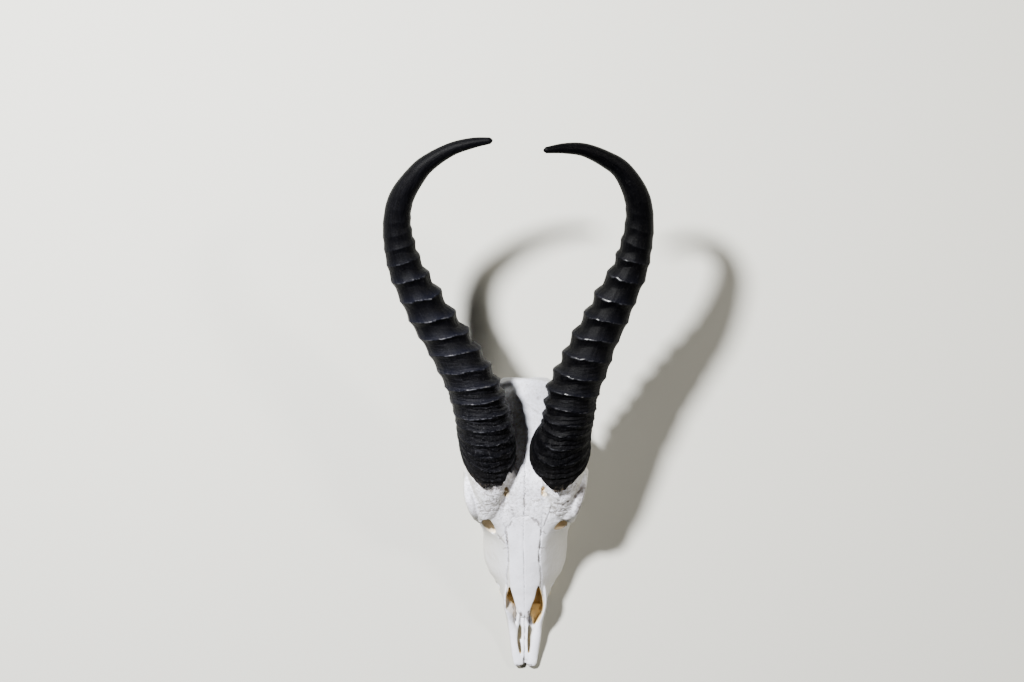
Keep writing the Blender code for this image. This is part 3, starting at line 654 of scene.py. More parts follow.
def golden_inside_painted_light(points, normals):
    """1 where the bone lies within an opening and is golden brown instead of bleached, painted brighter
    as the warm light bounced in there.
    """
    x, y, z = points.T
    depth = sunk(points)
    # The nasal openings, below the nasals' edge; the right one has a pale floor on its outer side
    nose_roof = np.interp(y, (33, 46, 56, 66), (10.5, 19.5, 25.5, 31))
    below_nose = ramp(z - nose_roof, 0.2, -1.2)
    upper_side = ramp(z, 6, 8) * np.maximum(ramp(z, 12.5, 14), ramp(normals[:, 2], -0.1, 0.3))
    over_floor = y - 48.6 - 1.14 * (-7 - x)
    margin_right = np.maximum(ramp(over_floor, -1.5, 1.0), 0.28 + 0.2 * ramp(x, -13.6, -14.4))
    nose_left = within(points, NOSE_LEFT, 0.2) * below_nose * upper_side
    nose_right = within(points, NOSE_RIGHT, 0.2) * below_nose * upper_side * margin_right
    # The holes at the brow's corners: their shafts, and the far walls seen through them, painted brown
    # as the warm shade seen there
    corners = np.maximum(within(points, CORNER_LEFT, 1.4), within(points, CORNER_RIGHT, 1.4))
    corners *= ramp(depth, 0.4, 1.2)
    corner_walls = np.maximum(within(points, CORNER_LEFT, -0.1), within(points, CORNER_RIGHT, -0.1))
    corners = np.maximum(corners * ramp(z, 36, 39), corner_walls * ramp(z, 14, 17))
    corners *= ramp(y, 122.6, 121.8)
    # The vein holes, the hollow of the nose, and the palatal slits, whose shallow floors are painted
    # brown as the warm shade seen through them
    veins = ramp(np.hypot(np.abs(x) - 14.4, (y - 145.3) / 2), 2.6, 2.1) * ramp(z, 70.2, 69.2)
    pale_inner = ramp(x, -6, -7.5) * ramp(over_floor, 1.0, -1.5)
    cave = ramp(depth, 1.0, 2.2) * ramp(y, 112, 108) * ramp(y, 47, 48) * ramp(np.abs(x), 24, 20)
    slit_floor = np.interp(y, (8, 16, 26, 36), (5.6, 6.6, 7.6, 8.8))
    slits = np.maximum(ramp(np.abs(x + 4.7), 2.2, 1.7), ramp(np.abs(x - 3.1), 2.2, 1.7))
    slits *= ramp(y, 9, 12) * ramp(y, 36, 33) * ramp(z - slit_floor, 0.3, -0.8)
    return np.clip(cave * (1 - pale_inner) + nose_left + nose_right + corners + veins + slits, 0, 1)


# The hollowed body and the finer bones are fused, opened, carved, and thinned to a fair weight
cranium = object_from("cranium", [loft(body_loops(BODY[0][0], BODY[-1][0], BODY_LOOPS))])
carve_out(cranium, body_hollows(), "EXACT")
finer = object_from("finer_bones", cranium_shapes())
whole = bmesh.new()
for mesh in (cranium.data, finer.data):
    whole.from_mesh(mesh)
whole.to_mesh(cranium.data)
whole.free()
bpy.data.objects.remove(finer)
modify(cranium, "REMESH", mode="VOXEL", voxel_size=VOXEL * MM)
modify(cranium, "SMOOTH", factor=0.5, iterations=SOFTEN_STEPS)
settle(cranium)
carve_out(cranium, holes(), "MANIFOLD")
modify(cranium, "REMESH", mode="VOXEL", voxel_size=VOXEL * MM)
settle(cranium)
write_points(cranium.data, carve(read_points(cranium.data), read_normals(cranium.data)))
triangles = sum(len(face.vertices) - 2 for face in cranium.data.polygons)
modify(cranium, "DECIMATE", ratio=CRANIUM_TRIANGLES / triangles)
settle(cranium)

# What the finish reads at each point
points, normals = read_points(cranium.data), read_normals(cranium.data)
across, show = seams(points, normals)
write_attribute(cranium.data, "seams_mm", across)
write_attribute(cranium.data, "seams_show", show)
write_attribute(cranium.data, "hollow", golden_inside_painted_light(points, normals))
write_attribute(cranium.data, "rough", rough_areas(points, normals))
write_attribute(cranium.data, "stain", stains_and_painted_shade(points, normals))


def socket(sockets, key):
    """A node's socket by its number, or by its name among those in use."""
    if isinstance(key, int):
        return sockets[key]
    return next(found for found in sockets if found.name == key and found.enabled)


def add(tree, kind, inputs=None, **settings):
    """A node with its settings; each input is linked to a socket or set to a value."""
    node = tree.nodes.new(kind)
    for name, value in settings.items():
        setattr(node, name, value)
    for key, value in (inputs or {}).items():
        if isinstance(value, bpy.types.NodeSocket):
            tree.links.new(value, socket(node.inputs, key))
        else:
            socket(node.inputs, key).default_value = value
    return node


def calc(tree, operation, *values, clamp=False):
    """One step of arithmetic on numbers or sockets."""
    inputs = dict(enumerate(values))
    return add(tree, "ShaderNodeMath", inputs, operation=operation, use_clamp=clamp).outputs[0]


def aim(tree, operation, *values, scale=None):
    """One step of arithmetic on vectors."""
    inputs = dict(enumerate(values))
    if scale is not None:
        inputs["Scale"] = scale
    node = add(tree, "ShaderNodeVectorMath", inputs, operation=operation)
    numbers = ("DOT_PRODUCT", "LENGTH", "DISTANCE")
    return socket(node.outputs, "Value" if operation in numbers else "Vector")


def times(tree, first, *others):
    """The product of numbers or sockets."""
    for other in others:
        first = calc(tree, "MULTIPLY", first, other)
    return first


def plus(tree, first, *others):
    """The sum of numbers or sockets."""
    for other in others:
        first = calc(tree, "ADD", first, other)
    return first


def parts(tree, vector):
    """A vector's three parts."""
    return add(tree, "ShaderNodeSeparateXYZ", {0: vector}).outputs


def joined(tree, *values):
    """A vector of up to three numbers or sockets."""
    return add(tree, "ShaderNodeCombineXYZ", dict(enumerate(values))).outputs[0]


def step(tree, value, low, high):
    """0 below low, 1 above high, and a soft step between; low may be the larger one."""
    inputs = {"Value": value, "From Min": low, "From Max": high}
    node = add(tree, "ShaderNodeMapRange", inputs, interpolation_type="SMOOTHSTEP")
    return socket(node.outputs, "Result")


def fractal(tree, vector, scale, detail=3.0, roughness=0.5):
    """Noise from 0 to 1, with lumps about one over scale wide."""
    values = {"Vector": vector, "Scale": scale, "Detail": detail, "Roughness": roughness}
    return socket(add(tree, "ShaderNodeTexNoise", values).outputs, "Fac")


def streaks_of(tree, vector, stretch, detail, roughness):
    """Noise whose lumps are drawn out where the parts of stretch are small."""
    return fractal(tree, aim(tree, "MULTIPLY", vector, stretch), 1.0, detail, roughness)


def tint(tree, amount, first, second):
    """A mix of two colours."""
    node = add(tree, "ShaderNodeMix", {"Factor": amount, "A": first, "B": second}, data_type="RGBA")
    return socket(node.outputs, "Result")


def stored(tree, name, output="Vector"):
    """What the mesh keeps under that name."""
    return socket(add(tree, "ShaderNodeAttribute", attribute_name=name).outputs, output)


def spot_mm(tree):
    """Each point's place on its object, in millimetres."""
    return aim(tree, "SCALE", socket(add(tree, "ShaderNodeTexCoord").outputs, "Object"), scale=1 / MM)


def new_finish(name):
    """A new material under that name, with its node tree and its shader."""
    made = bpy.data.materials.new(name)
    made.use_nodes = True
    return made, made.node_tree, made.node_tree.nodes["Principled BSDF"]


def emboss(tree, shader, height, strength, distance):
    """Gives the shader a relief of that height."""
    values = {"Height": height, "Strength": strength, "Distance": distance * MM}
    tree.links.new(add(tree, "ShaderNodeBump", values).outputs[0], shader.inputs["Normal"])


def weathering_group():
    """Shared by bone, horn and teeth: clouded colour, dust in the hollows and a fine grain."""
    group = bpy.data.node_groups.new("weathering", "ShaderNodeTree")
    for name, kind, value in (
        ("Place", "Vector", (0, 0, 0)), ("Colour", "Color", (0.8, 0.8, 0.8, 1)),
        ("Dust", "Color", (0.3, 0.25, 0.2, 1)), ("Cloud size", "Float", 12.0),
        ("Clouding", "Float", 0.1), ("Dustiness", "Float", 0.3), ("Grain size", "Float", 0.5),
        ("Grain", "Float", 0.3), ("Low", "Float", 0.0),
    ):
        made = group.interface.new_socket(name, in_out="INPUT", socket_type=f"NodeSocket{kind}")
        made.default_value = value
    for name, kind in (("Colour", "Color"), ("Height", "Float"), ("Mask", "Float")):
        group.interface.new_socket(name, in_out="OUTPUT", socket_type=f"NodeSocket{kind}")
    given = add(group, "NodeGroupInput").outputs

    def noise_of(size, detail, roughness):
        """Noise with lumps as large as the group is told under that name."""
        lump = joined(group, given[size], given[size], given[size])
        return fractal(group, aim(group, "DIVIDE", given["Place"], lump), 1.0, detail, roughness)

    broad, fine = noise_of("Cloud size", 5.0, 0.6), noise_of("Grain size", 6.0, 0.65)
    shade = calc(group, "MULTIPLY_ADD", calc(group, "SUBTRACT", broad, 0.5), given["Clouding"], 1.0)
    clouded = aim(group, "SCALE", given["Colour"], scale=shade)
    # The low places of the relief, and the low half of the grain, hold the dust
    settled = times(group, step(group, fine, 0.46, 0.28), step(group, broad, 0.35, 0.65))
    mask = plus(group, given["Low"], settled)
    mask = calc(group, "MULTIPLY", given["Dustiness"], mask, clamp=True)
    dusted = tint(group, mask, clouded, given["Dust"])
    add(group, "NodeGroupOutput", {0: dusted, 1: times(group, fine, given["Grain"]), 2: mask})
    return group


def bleached_bone():
    """Chalky white bone: dark thin sutures, porous brows, and golden brown inside its hollows,
    brightened there as painted bounce light.
    """
    made, tree, shader = new_finish("bleached_bone")
    place = spot_mm(tree)
    rough = stored(tree, "rough", "Fac")
    inside = stored(tree, "hollow", "Fac")
    fine = fractal(tree, place, 0.9, 4.0, 0.6)
    mottle = fractal(tree, place, 0.5, 5.0, 0.7)
    grubby = times(tree, calc(tree, "POWER", rough, 0.7), step(tree, mottle, 0.45, 0.59))
    # The roof is bleached whitest; the flanks, which face away from the sun, stay greyer, and are
    # painted darker still as shade
    skyward = parts(tree, socket(add(tree, "ShaderNodeTexCoord").outputs, "Normal"))[2]
    clean = tint(tree, step(tree, skyward, 0.38, 0.97), FLANK_BONE_AND_SHADE, UPWARD_BONE)
    # Painted shade: the rear of the brain case is painted greyer, as the shade on its sloping back
    rearward = step(tree, parts(tree, place)[1], -48.0, -15.0)
    clean = tint(tree, times(tree, rearward, 0.6), clean, REAR_PAINTED_SHADE)
    weathered = add(tree, "ShaderNodeGroup", {
        "Place": place, "Colour": clean, "Dust": BONE_DUST, "Cloud size": 9.0,
        "Clouding": 0.14, "Dustiness": 0.36, "Grain size": 1.3, "Grain": 0.6,
        "Low": times(tree, grubby, 2.3)}, node_tree=weathering)
    colour = weathered.outputs["Colour"]
    # Pores: many on the brows, a few elsewhere
    bend = add(tree, "ShaderNodeTexNoise", {"Vector": place, "Scale": 0.9, "Detail": 3.0})
    bend = aim(tree, "SUBTRACT", socket(bend.outputs, "Color"), (0.5, 0.5, 0.5))
    bend = aim(tree, "SCALE", bend, scale=2.6)
    speck = add(tree, "ShaderNodeTexVoronoi", {"Vector": aim(tree, "ADD", place, bend), "Scale": 0.66})
    rare = socket(speck.outputs, "Distance")
    luck, large, _ = parts(tree, socket(speck.outputs, "Color"))
    wanted = calc(tree, "GREATER_THAN", luck, calc(tree, "MULTIPLY_ADD", rough, -0.57, 0.94))
    pore = step(tree, rare, calc(tree, "MULTIPLY_ADD", large, 0.36, 0.16), times(tree, large, 0.16))
    pore = times(tree, pore, wanted, calc(tree, "MULTIPLY_ADD", rough, 0.60, 0.30))
    colour = tint(tree, pore, colour, PORE)
    # Sutures: thin dark lines that come and go
    off = parts(tree, stored(tree, "seams_mm"))
    seen = parts(tree, stored(tree, "seams_show"))
    broken = fractal(tree, place, 0.16, 3.0, 0.7)
    seam = 0.0
    for number, (width, strength) in enumerate(((0.50, 0.8), (1.3, 1.0), (0.8, 1.0))):
        width = times(tree, step(tree, broken, 0.38, 0.64), width)
        width = times(tree, width, calc(tree, "MULTIPLY_ADD", fine, 1.6, 0.2))
        away = calc(tree, "DIVIDE", calc(tree, "ABSOLUTE", off[number]), plus(tree, width, 0.02))
        line = calc(tree, "SUBTRACT", 1.0, away, clamp=True)
        line = times(tree, calc(tree, "POWER", line, 0.5), seen[number])
        seam = calc(tree, "MAXIMUM", seam, times(tree, line, strength))
    colour = tint(tree, seam, colour, SUTURE)
    # Stains and cracks, and the strokes of painted shade over the nose tip's front edge and the outer
    # rim of the animal's left eye socket
    colour = tint(tree, stored(tree, "stain", "Fac"), colour, STAIN_AND_PAINTED_SHADE)
    # Painted light: golden brown inside the openings, brighter than the bone's own colour as the warm
    # light that bounces in there, and paler further back, where the nose lies in shade
    brown = tint(tree, fractal(tree, place, 0.12, 3.0), GOLDEN_BROWN, LIGHT_BROWN)
    far_back = step(tree, parts(tree, place)[1], -112.0, -98.0)
    brown = tint(tree, far_back, brown, BACK_BROWN_PAINTED_LIGHT)
    colour = tint(tree, inside, colour, brown)
    tree.links.new(colour, shader.inputs["Base Color"])
    gloss = calc(tree, "MULTIPLY_ADD", fine, 0.2, calc(tree, "MULTIPLY_ADD", rough, 0.15, 0.48))
    tree.links.new(gloss, shader.inputs["Roughness"])
    height = calc(tree, "SUBTRACT", weathered.outputs["Height"], times(tree, pore, 0.6))
    height = calc(tree, "SUBTRACT", height, times(tree, seam, 0.7))
    emboss(tree, shader, height, 0.55, 0.5)
    return made


weathering = weathering_group()
cranium.data.materials.clear()
cranium.data.materials.append(bleached_bone())
cranium.data.shade_smooth()
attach(cranium, "root")
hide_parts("cranium")

# Horn sheaths: hollow caps of black keratin over the bony cores. Each is a round bar along a
# lyre-shaped line, with a raised ring for each spurt of growth: crowded and layered at the base,
# tall towards the middle plane, and none on the last third, which is smooth and finely grained.
HORN_SIDES = 128
HORN_LOOPS = 700
HORN_LINE_POINTS = 600
HORN_DEPTH = 1.08
# The middle lines from the lower edge to the tip, as (x away from the middle plane, y, z, radius)
LEFT_HORN = (
    (26.8, 171, 69, 21.6), (28.1, 188, 78, 20.6), (32.1, 206, 84, 19.5), (36.1, 224.5, 88, 18.5),
    (43.4, 242.5, 92, 17.3), (50.7, 260.5, 95, 16.3), (59.5, 278, 99, 15.2), (67.7, 296, 104, 14),
    (75.9, 313.5, 109, 12.5), (80.6, 331, 114, 11.2), (82.6, 348, 119, 10), (80, 365, 126, 8.9),
    (69.8, 382, 134, 7.1), (58, 390, 140, 6.0), (42, 396.2, 147, 4.8), (27.4, 397, 152, 3.8),
    (11.8, 395, 157, 2.1),
)
RIGHT_HORN = (
    (27.8, 171, 68, 21), (30.3, 188, 76, 20.4), (34, 206, 81, 19.6), (40, 224.5, 86, 18.7),
    (49, 242.5, 90, 17.8), (59.7, 260.5, 93, 16.6), (71, 278, 97, 15.4), (80.8, 296, 102, 14),
    (89.4, 313.5, 107, 12.4), (93.9, 331, 112, 11), (95.2, 348, 117, 9.8), (91, 365, 123, 8.9),
    (78.4, 382, 131, 7.2), (68, 390.5, 135, 6.1), (53.6, 398, 139, 4.9), (38.6, 402, 142, 3.9),
    (24.2, 403.6, 145, 2.2),
)
# Where the rings' crests stand on the front face, along the middle line
LEFT_RINGS = (4.9, 9.0, 15.7, 23.0, 30.3, 35.9, 44.6, 56.6, 70.4, 84.4, 100.5, 117.5, 133.8, 151.0,
              165.8, 177.1, 189.1, 201.6, 211.1)
RIGHT_RINGS = (6.8, 11.6, 18.8, 24.6, 31.9, 40.2, 51.3, 62.0, 75.6, 89.9, 105.8, 121.5, 138.8,
               155.3, 168.6, 180.0, 189.6, 199.5, 209.4)
# How high the rings stand towards the middle plane and away from it
RING_INNER = 3.5
RING_OUTER = 1.3
# How much further out than the round bar the inner and outer edges stand, along the middle line
LEFT_SWELL = ((0, 2.4, 0.4), (7, 3.2, 0.4), (15, 1.6, 0.2), (21, -0.4, 0), (28, -2.4, 0),
              (40, -1.2, 0), (52, 0, 0.4), (100, 0, 0.8), (210, 0, 0.8), (240, 0, 0.4), (300, 0, 0))
RIGHT_SWELL = ((0, -1, 0), (8, -0.6, 0), (18, 0.8, 0.2), (30, 1.6, 0), (45, 1.8, 0),
               (60, 1.4, -0.4), (150, 1.4, -0.4), (200, 0.8, 0), (240, 0, 0), (300, 0, 0))
# How far the ragged lower edge is worn back, by degrees round the sheath from the picture's right
LEFT_EDGE = ((0, 0), (16, 1.7), (35, 2.6), (53, 4), (67, 2.8), (78, 1.1), (98, 1), (107, 3),
             (117, 5.8), (129, 7.0), (143, 7.3), (156, 7.8), (170, 8), (190, 7), (220, 3),
             (260, 0), (360, 0))
RIGHT_EDGE = ((0, 2.5), (12, 4.3), (29, 5.4), (41, 6), (47, 8), (52, 8.8), (56, 7.5), (61, 5.6),
              (70, 4), (80, 4), (92, 5.2), (103, 3), (114, 0.8), (129, 1.2), (145, 1.8), (180, 0),
              (320, 0), (360, 2.5))
# The slant of the lower edge, and how far along the sheath the rings keep it
BASE_PLANE = (-0.22, 0.4, 0.89)
BASE_BLEND = 46.0
# Horn: two blacks that streak it, a painted bluish sheen above each crest, then its crests painted
# paler as highlights, painted glints as specks, and lines
HORN_BLACK = (0.0010, 0.0010, 0.0014, 1)
HORN_GREY = (0.0028, 0.0029, 0.0040, 1)
PAINTED_BLUE_SHEEN = (0.0038, 0.0043, 0.0084, 1)
CREST_PAINTED_HIGHLIGHT = (0.030, 0.031, 0.038, 1)
PAINTED_GLINT = (0.048, 0.048, 0.054, 1)
GROWTH_LINE = (0.017, 0.017, 0.021, 1)
HORN_DUST = (0.030, 0.028, 0.026, 1)
SCURF = (0.11, 0.092, 0.07, 1)
PALE_PATCH = (0.10, 0.10, 0.11, 1)


def horn_line(word, side, path, rings, swell, edge):
    """The sheath's middle line as a mesh of edges, with its radius, ring count and ring strength."""
    keys = np.arange(len(path))
    at = np.linspace(0, len(path) - 1, HORN_LINE_POINTS)
    fine = smooth(keys, path, at) * (side, 1, 1, 1)
    hop = np.linalg.norm(np.diff(fine[:, :3], axis=0), axis=1)
    travel = np.concatenate([[0], np.cumsum(hop)])
    pitch = np.diff(rings)
    crests = np.array([rings[0] - 2 * pitch[0], rings[0] - pitch[0], *rings,
                       rings[-1] + pitch[-1], travel[-1] + pitch[-1]])
    counts = np.arange(len(crests), dtype=float) - 1
    counts[-1] = counts[-2] + (crests[-1] - crests[-2]) / pitch[-1]
    count = smooth(crests, counts, travel)
    strength = np.interp(travel, (0, 12, 30, 55, 145, 165, 178, 190, 205, 222),
                         (0.3, 0.38, 0.55, 1, 1, 0.7, 0.42, 0.25, 0.12, 0))
    line = bpy.data.meshes.new(f"horn_line_{word}")
    line.from_pydata(fine[:, :3] + SHIFT, [(i, i + 1) for i in range(len(fine) - 1)], [])
    write_attribute(line, "section", np.column_stack([fine[:, 3], count, strength]))
    stops, inner, outer = np.array(swell, float).T
    degrees, worn = np.array(edge, float).T
    write_attribute(line, "fit", np.column_stack([
        smooth(stops, inner, travel), smooth(stops, outer, travel),
        np.interp(travel / travel[-1] * 360, degrees, worn)]))
    return put_in_scene(f"horn_sheath_{word}", line), travel[-1]


def horn_tree():
    """Geometry Nodes that skin a middle line with a ringed, fluted sheath."""
    tree = bpy.data.node_groups.new("ringed_sheath", "GeometryNodeTree")
    face = tree.interface
    face.new_socket("Line", in_out="INPUT", socket_type="NodeSocketGeometry")
    for name, kind, value in (
        ("Sides", "Int", HORN_SIDES), ("Loops", "Int", HORN_LOOPS), ("Side", "Float", 1.0),
        ("Length", "Float", 300.0), ("Depth", "Float", HORN_DEPTH),
        ("Ring height inside", "Float", RING_INNER), ("Ring height outside", "Float", RING_OUTER),
        ("Base plane", "Vector", BASE_PLANE), ("Base blend", "Float", BASE_BLEND),
        ("Seed", "Int", 1),
    ):
        face.new_socket(name, in_out="INPUT", socket_type=f"NodeSocket{kind}").default_value = value
    face.new_socket("Finish", in_out="INPUT", socket_type="NodeSocketMaterial")
    face.new_socket("Sheath", in_out="OUTPUT", socket_type="NodeSocketGeometry")
    given = add(tree, "NodeGroupInput").outputs
    side, length = given["Side"], given["Length"]

    # A plain tube of the right count of loops gives each point its turn and its place along
    tube = add(tree, "GeometryNodeMeshCylinder",
               {"Vertices": given["Sides"], "Side Segments": given["Loops"], "Radius": 1.0,
                "Depth": 1.0}, fill_type="TRIANGLE_FAN")
    across, front, along = parts(tree, add(tree, "GeometryNodeInputPosition").outputs[0])
    share = calc(tree, "ADD", along, 0.5, clamp=True)
    around = joined(tree, across, front, 0.0)
    seed_place = joined(tree, 0.0, 0.0, times(tree, given["Seed"], 7.3))
    turn_place = aim(tree, "ADD", around, seed_place)
    line = add(tree, "GeometryNodeMeshToCurve", {"Mesh": given["Line"]}).outputs[0]
    section, fit = (socket(add(tree, "GeometryNodeInputNamedAttribute", {"Name": name},
                               data_type="FLOAT_VECTOR").outputs, "Attribute")
                    for name in ("section", "fit"))

    def sample(distance, value=None, turn=False):
        """The line's place, or a value on it, at a distance from the lower edge or at a turn."""
        kind = "FLOAT_VECTOR" if value else "FLOAT"
        inputs = {"Curves": line, "Factor" if turn else "Length": distance}
        if value:
            inputs["Value"] = value
        mode = "FACTOR" if turn else "LENGTH"
        node = add(tree, "GeometryNodeSampleCurve", inputs, data_type=kind, mode=mode)
        return socket(node.outputs, "Value" if value else "Position")

    # The lower edge is worn back by its own amount at each turn, and is ragged besides
    turn = calc(tree, "FRACT", calc(tree, "DIVIDE", calc(tree, "ARCTAN2", front, across), math.tau))
    worn = parts(tree, sample(turn, fit, turn=True))[2]
    ragged = calc(tree, "SUBTRACT", fractal(tree, turn_place, 6.0, 5.0, 0.65), 0.5)
    lift_edge = calc(tree, "MULTIPLY_ADD", ragged, 2.6, worn)
    travel = calc(tree, "MULTIPLY_ADD", lift_edge, step(tree, share, 0.14, 0.0),
                  times(tree, share, length))

    end = calc(tree, "SUBTRACT", length, 0.01)
    beyond = sample(calc(tree, "MINIMUM", plus(tree, travel, 4.0), end))
    before = sample(calc(tree, "MAXIMUM", calc(tree, "SUBTRACT", travel, 4.0), 0.0))
    ahead = aim(tree, "NORMALIZE", aim(tree, "SUBTRACT", beyond, before))
    centre = sample(travel)
    radius, count, strength = parts(tree, sample(travel, section))
    swells = parts(tree, sample(travel, fit))
    outer = aim(tree, "NORMALIZE", aim(tree, "CROSS_PRODUCT", ahead, (0, 0, 1)))
    above = aim(tree, "CROSS_PRODUCT", outer, ahead)

    # Rings lie level over most of the sheath, square to it at the tip and along its edge at the base
    level = aim(tree, "NORMALIZE", aim(tree, "MULTIPLY", ahead, (0, 1, 1)))
    tip_share = step(tree, share, 0.5, 0.75)
    base_share = calc(tree, "DIVIDE", travel, given["Base blend"])
    base_share = calc(tree, "POWER", calc(tree, "SUBTRACT", 1.0, base_share, clamp=True), 1.5)

    def blend(amount, first, second):
        """A mix of two vectors."""
        node = add(tree, "ShaderNodeMix", {"Factor": amount, "A": first, "B": second},
                   data_type="VECTOR")
        return socket(node.outputs, "Result")

    base_plane = aim(tree, "MULTIPLY", given["Base plane"], joined(tree, side, 1.0, 1.0))
    plane = aim(tree, "NORMALIZE", blend(base_share, blend(tip_share, level, ahead), base_plane))

    # Rings: a sharp crest on each, near the base side in front and nearer the tip side within
    inward = calc(tree, "MULTIPLY_ADD", times(tree, across, side), -0.5, 0.5)
    waver = aim(tree, "ADD", turn_place, joined(tree, 0.0, 0.0, times(tree, count, 0.45)))
    waver = calc(tree, "SUBTRACT", fractal(tree, waver, 1.7, 2.0), 0.5)
    inner = step(tree, inward, 0.5, 0.95)
    crest = calc(tree, "MULTIPLY_ADD", inner, 0.36, 0.33)
    shift = times(tree, calc(tree, "SUBTRACT", inward, 0.5), -0.5)
    turned = plus(tree, count, shift, times(tree, waver, 0.28))
    groove = plus(tree, turned, crest)
    ring = calc(tree, "FLOOR", groove)
    phase = calc(tree, "FRACT", groove)
    rise = calc(tree, "POWER", calc(tree, "DIVIDE", phase, crest), 1.7)
    left = calc(tree, "DIVIDE", calc(tree, "SUBTRACT", phase, crest),
                calc(tree, "SUBTRACT", 1.0, crest))
    left = calc(tree, "SUBTRACT", 1.0, left, clamp=True)
    fall = calc(tree, "POWER", left, calc(tree, "MULTIPLY_ADD", inner, -1.1, 1.9))
    lift = calc(tree, "SMOOTH_MIN", calc(tree, "MINIMUM", rise, 1.2), fall, 0.3, clamp=True)
    luck = add(tree, "FunctionNodeRandomValue",
               {"Min": 0.78, "Max": 1.12, "ID": ring, "Seed": given["Seed"]}, data_type="FLOAT")
    height = calc(tree, "MULTIPLY_ADD", calc(tree, "POWER", inward, 1.3),
                  calc(tree, "SUBTRACT", given["Ring height inside"], given["Ring height outside"]),
                  given["Ring height outside"])
    height = times(tree, height, strength, socket(luck.outputs, "Value"))
    ringed = times(tree, height, calc(tree, "SUBTRACT", lift, 0.4))
    leaning = calc(tree, "MULTIPLY_ADD", inward, 2.0, -1.0)
    swollen = plus(tree, times(tree, swells[0], step(tree, leaning, -0.1, 1.0)),
                    times(tree, swells[1], step(tree, leaning, 0.1, -1.0)))

    # Grain: lengthwise flutes, and thin overlapping layers on the lowest stretch
    skin = joined(tree, times(tree, across, radius), times(tree, front, radius), travel)
    flutes = streaks_of(tree, aim(tree, "ADD", skin, seed_place), (0.27, 0.27, 0.022), 4.0, 0.6)
    flutes = calc(tree, "SUBTRACT", flutes, 0.5)
    flutes = times(tree, flutes, times(tree, radius, 0.055))
    layer_phase = calc(tree, "FRACT", calc(tree, "MULTIPLY_ADD", waver, 2.0, times(tree, travel, 0.36)))
    layered = times(tree, calc(tree, "SUBTRACT", layer_phase, 0.5),
                    times(tree, step(tree, travel, 90.0, 20.0), -0.85))
    worn_edge = times(tree, step(tree, travel, 3.0, 0.0), -0.9)
    reach = plus(tree, radius, ringed, worn_edge, plus(tree, flutes, layered, swollen))
    blunt = calc(tree, "DIVIDE", calc(tree, "SUBTRACT", plus(tree, length, 0.02), travel), 2.2)
    blunt = calc(tree, "POWER", calc(tree, "MINIMUM", blunt, 1.0), 0.5)
    sideways = aim(tree, "SCALE", outer, scale=times(tree, reach, across))
    upwards = aim(tree, "SCALE", above, scale=times(tree, reach, given["Depth"], front))
    out = aim(tree, "ADD", sideways, upwards)
    out = aim(tree, "SCALE", out, scale=blunt)
    slide = calc(tree, "DIVIDE", aim(tree, "DOT_PRODUCT", plane, out),
                 times(tree, aim(tree, "DOT_PRODUCT", plane, ahead), -1.0))
    moved = aim(tree, "ADD", aim(tree, "ADD", centre, out), aim(tree, "SCALE", ahead, scale=slide))

    shape = tube.outputs["Mesh"]
    # The tip side of each crest, which the finish paints with a bluish sheen
    beyond = times(tree, left, calc(tree, "GREATER_THAN", phase, crest))
    facts = joined(tree, travel, lift, times(tree, beyond, strength))
    for name, value in (("skin_mm", skin), ("ring_facts", facts)):
        store = add(tree, "GeometryNodeStoreNamedAttribute",
                    {"Geometry": shape, "Name": name, "Value": value},
                    data_type="FLOAT_VECTOR", domain="POINT")
        shape = store.outputs[0]
    shape = add(tree, "GeometryNodeSetPosition",
                {"Geometry": shape, "Position": aim(tree, "SCALE", moved, scale=MM)}).outputs[0]
    shape = add(tree, "GeometryNodeSetShadeSmooth", {"Geometry": shape}).outputs[0]
    shape = add(tree, "GeometryNodeRealizeInstances", {"Geometry": shape}).outputs[0]
    shape = add(tree, "GeometryNodeSetMaterial",
                {"Geometry": shape, "Material": given["Finish"]}).outputs[0]
    add(tree, "NodeGroupOutput", {0: shape})
    return tree


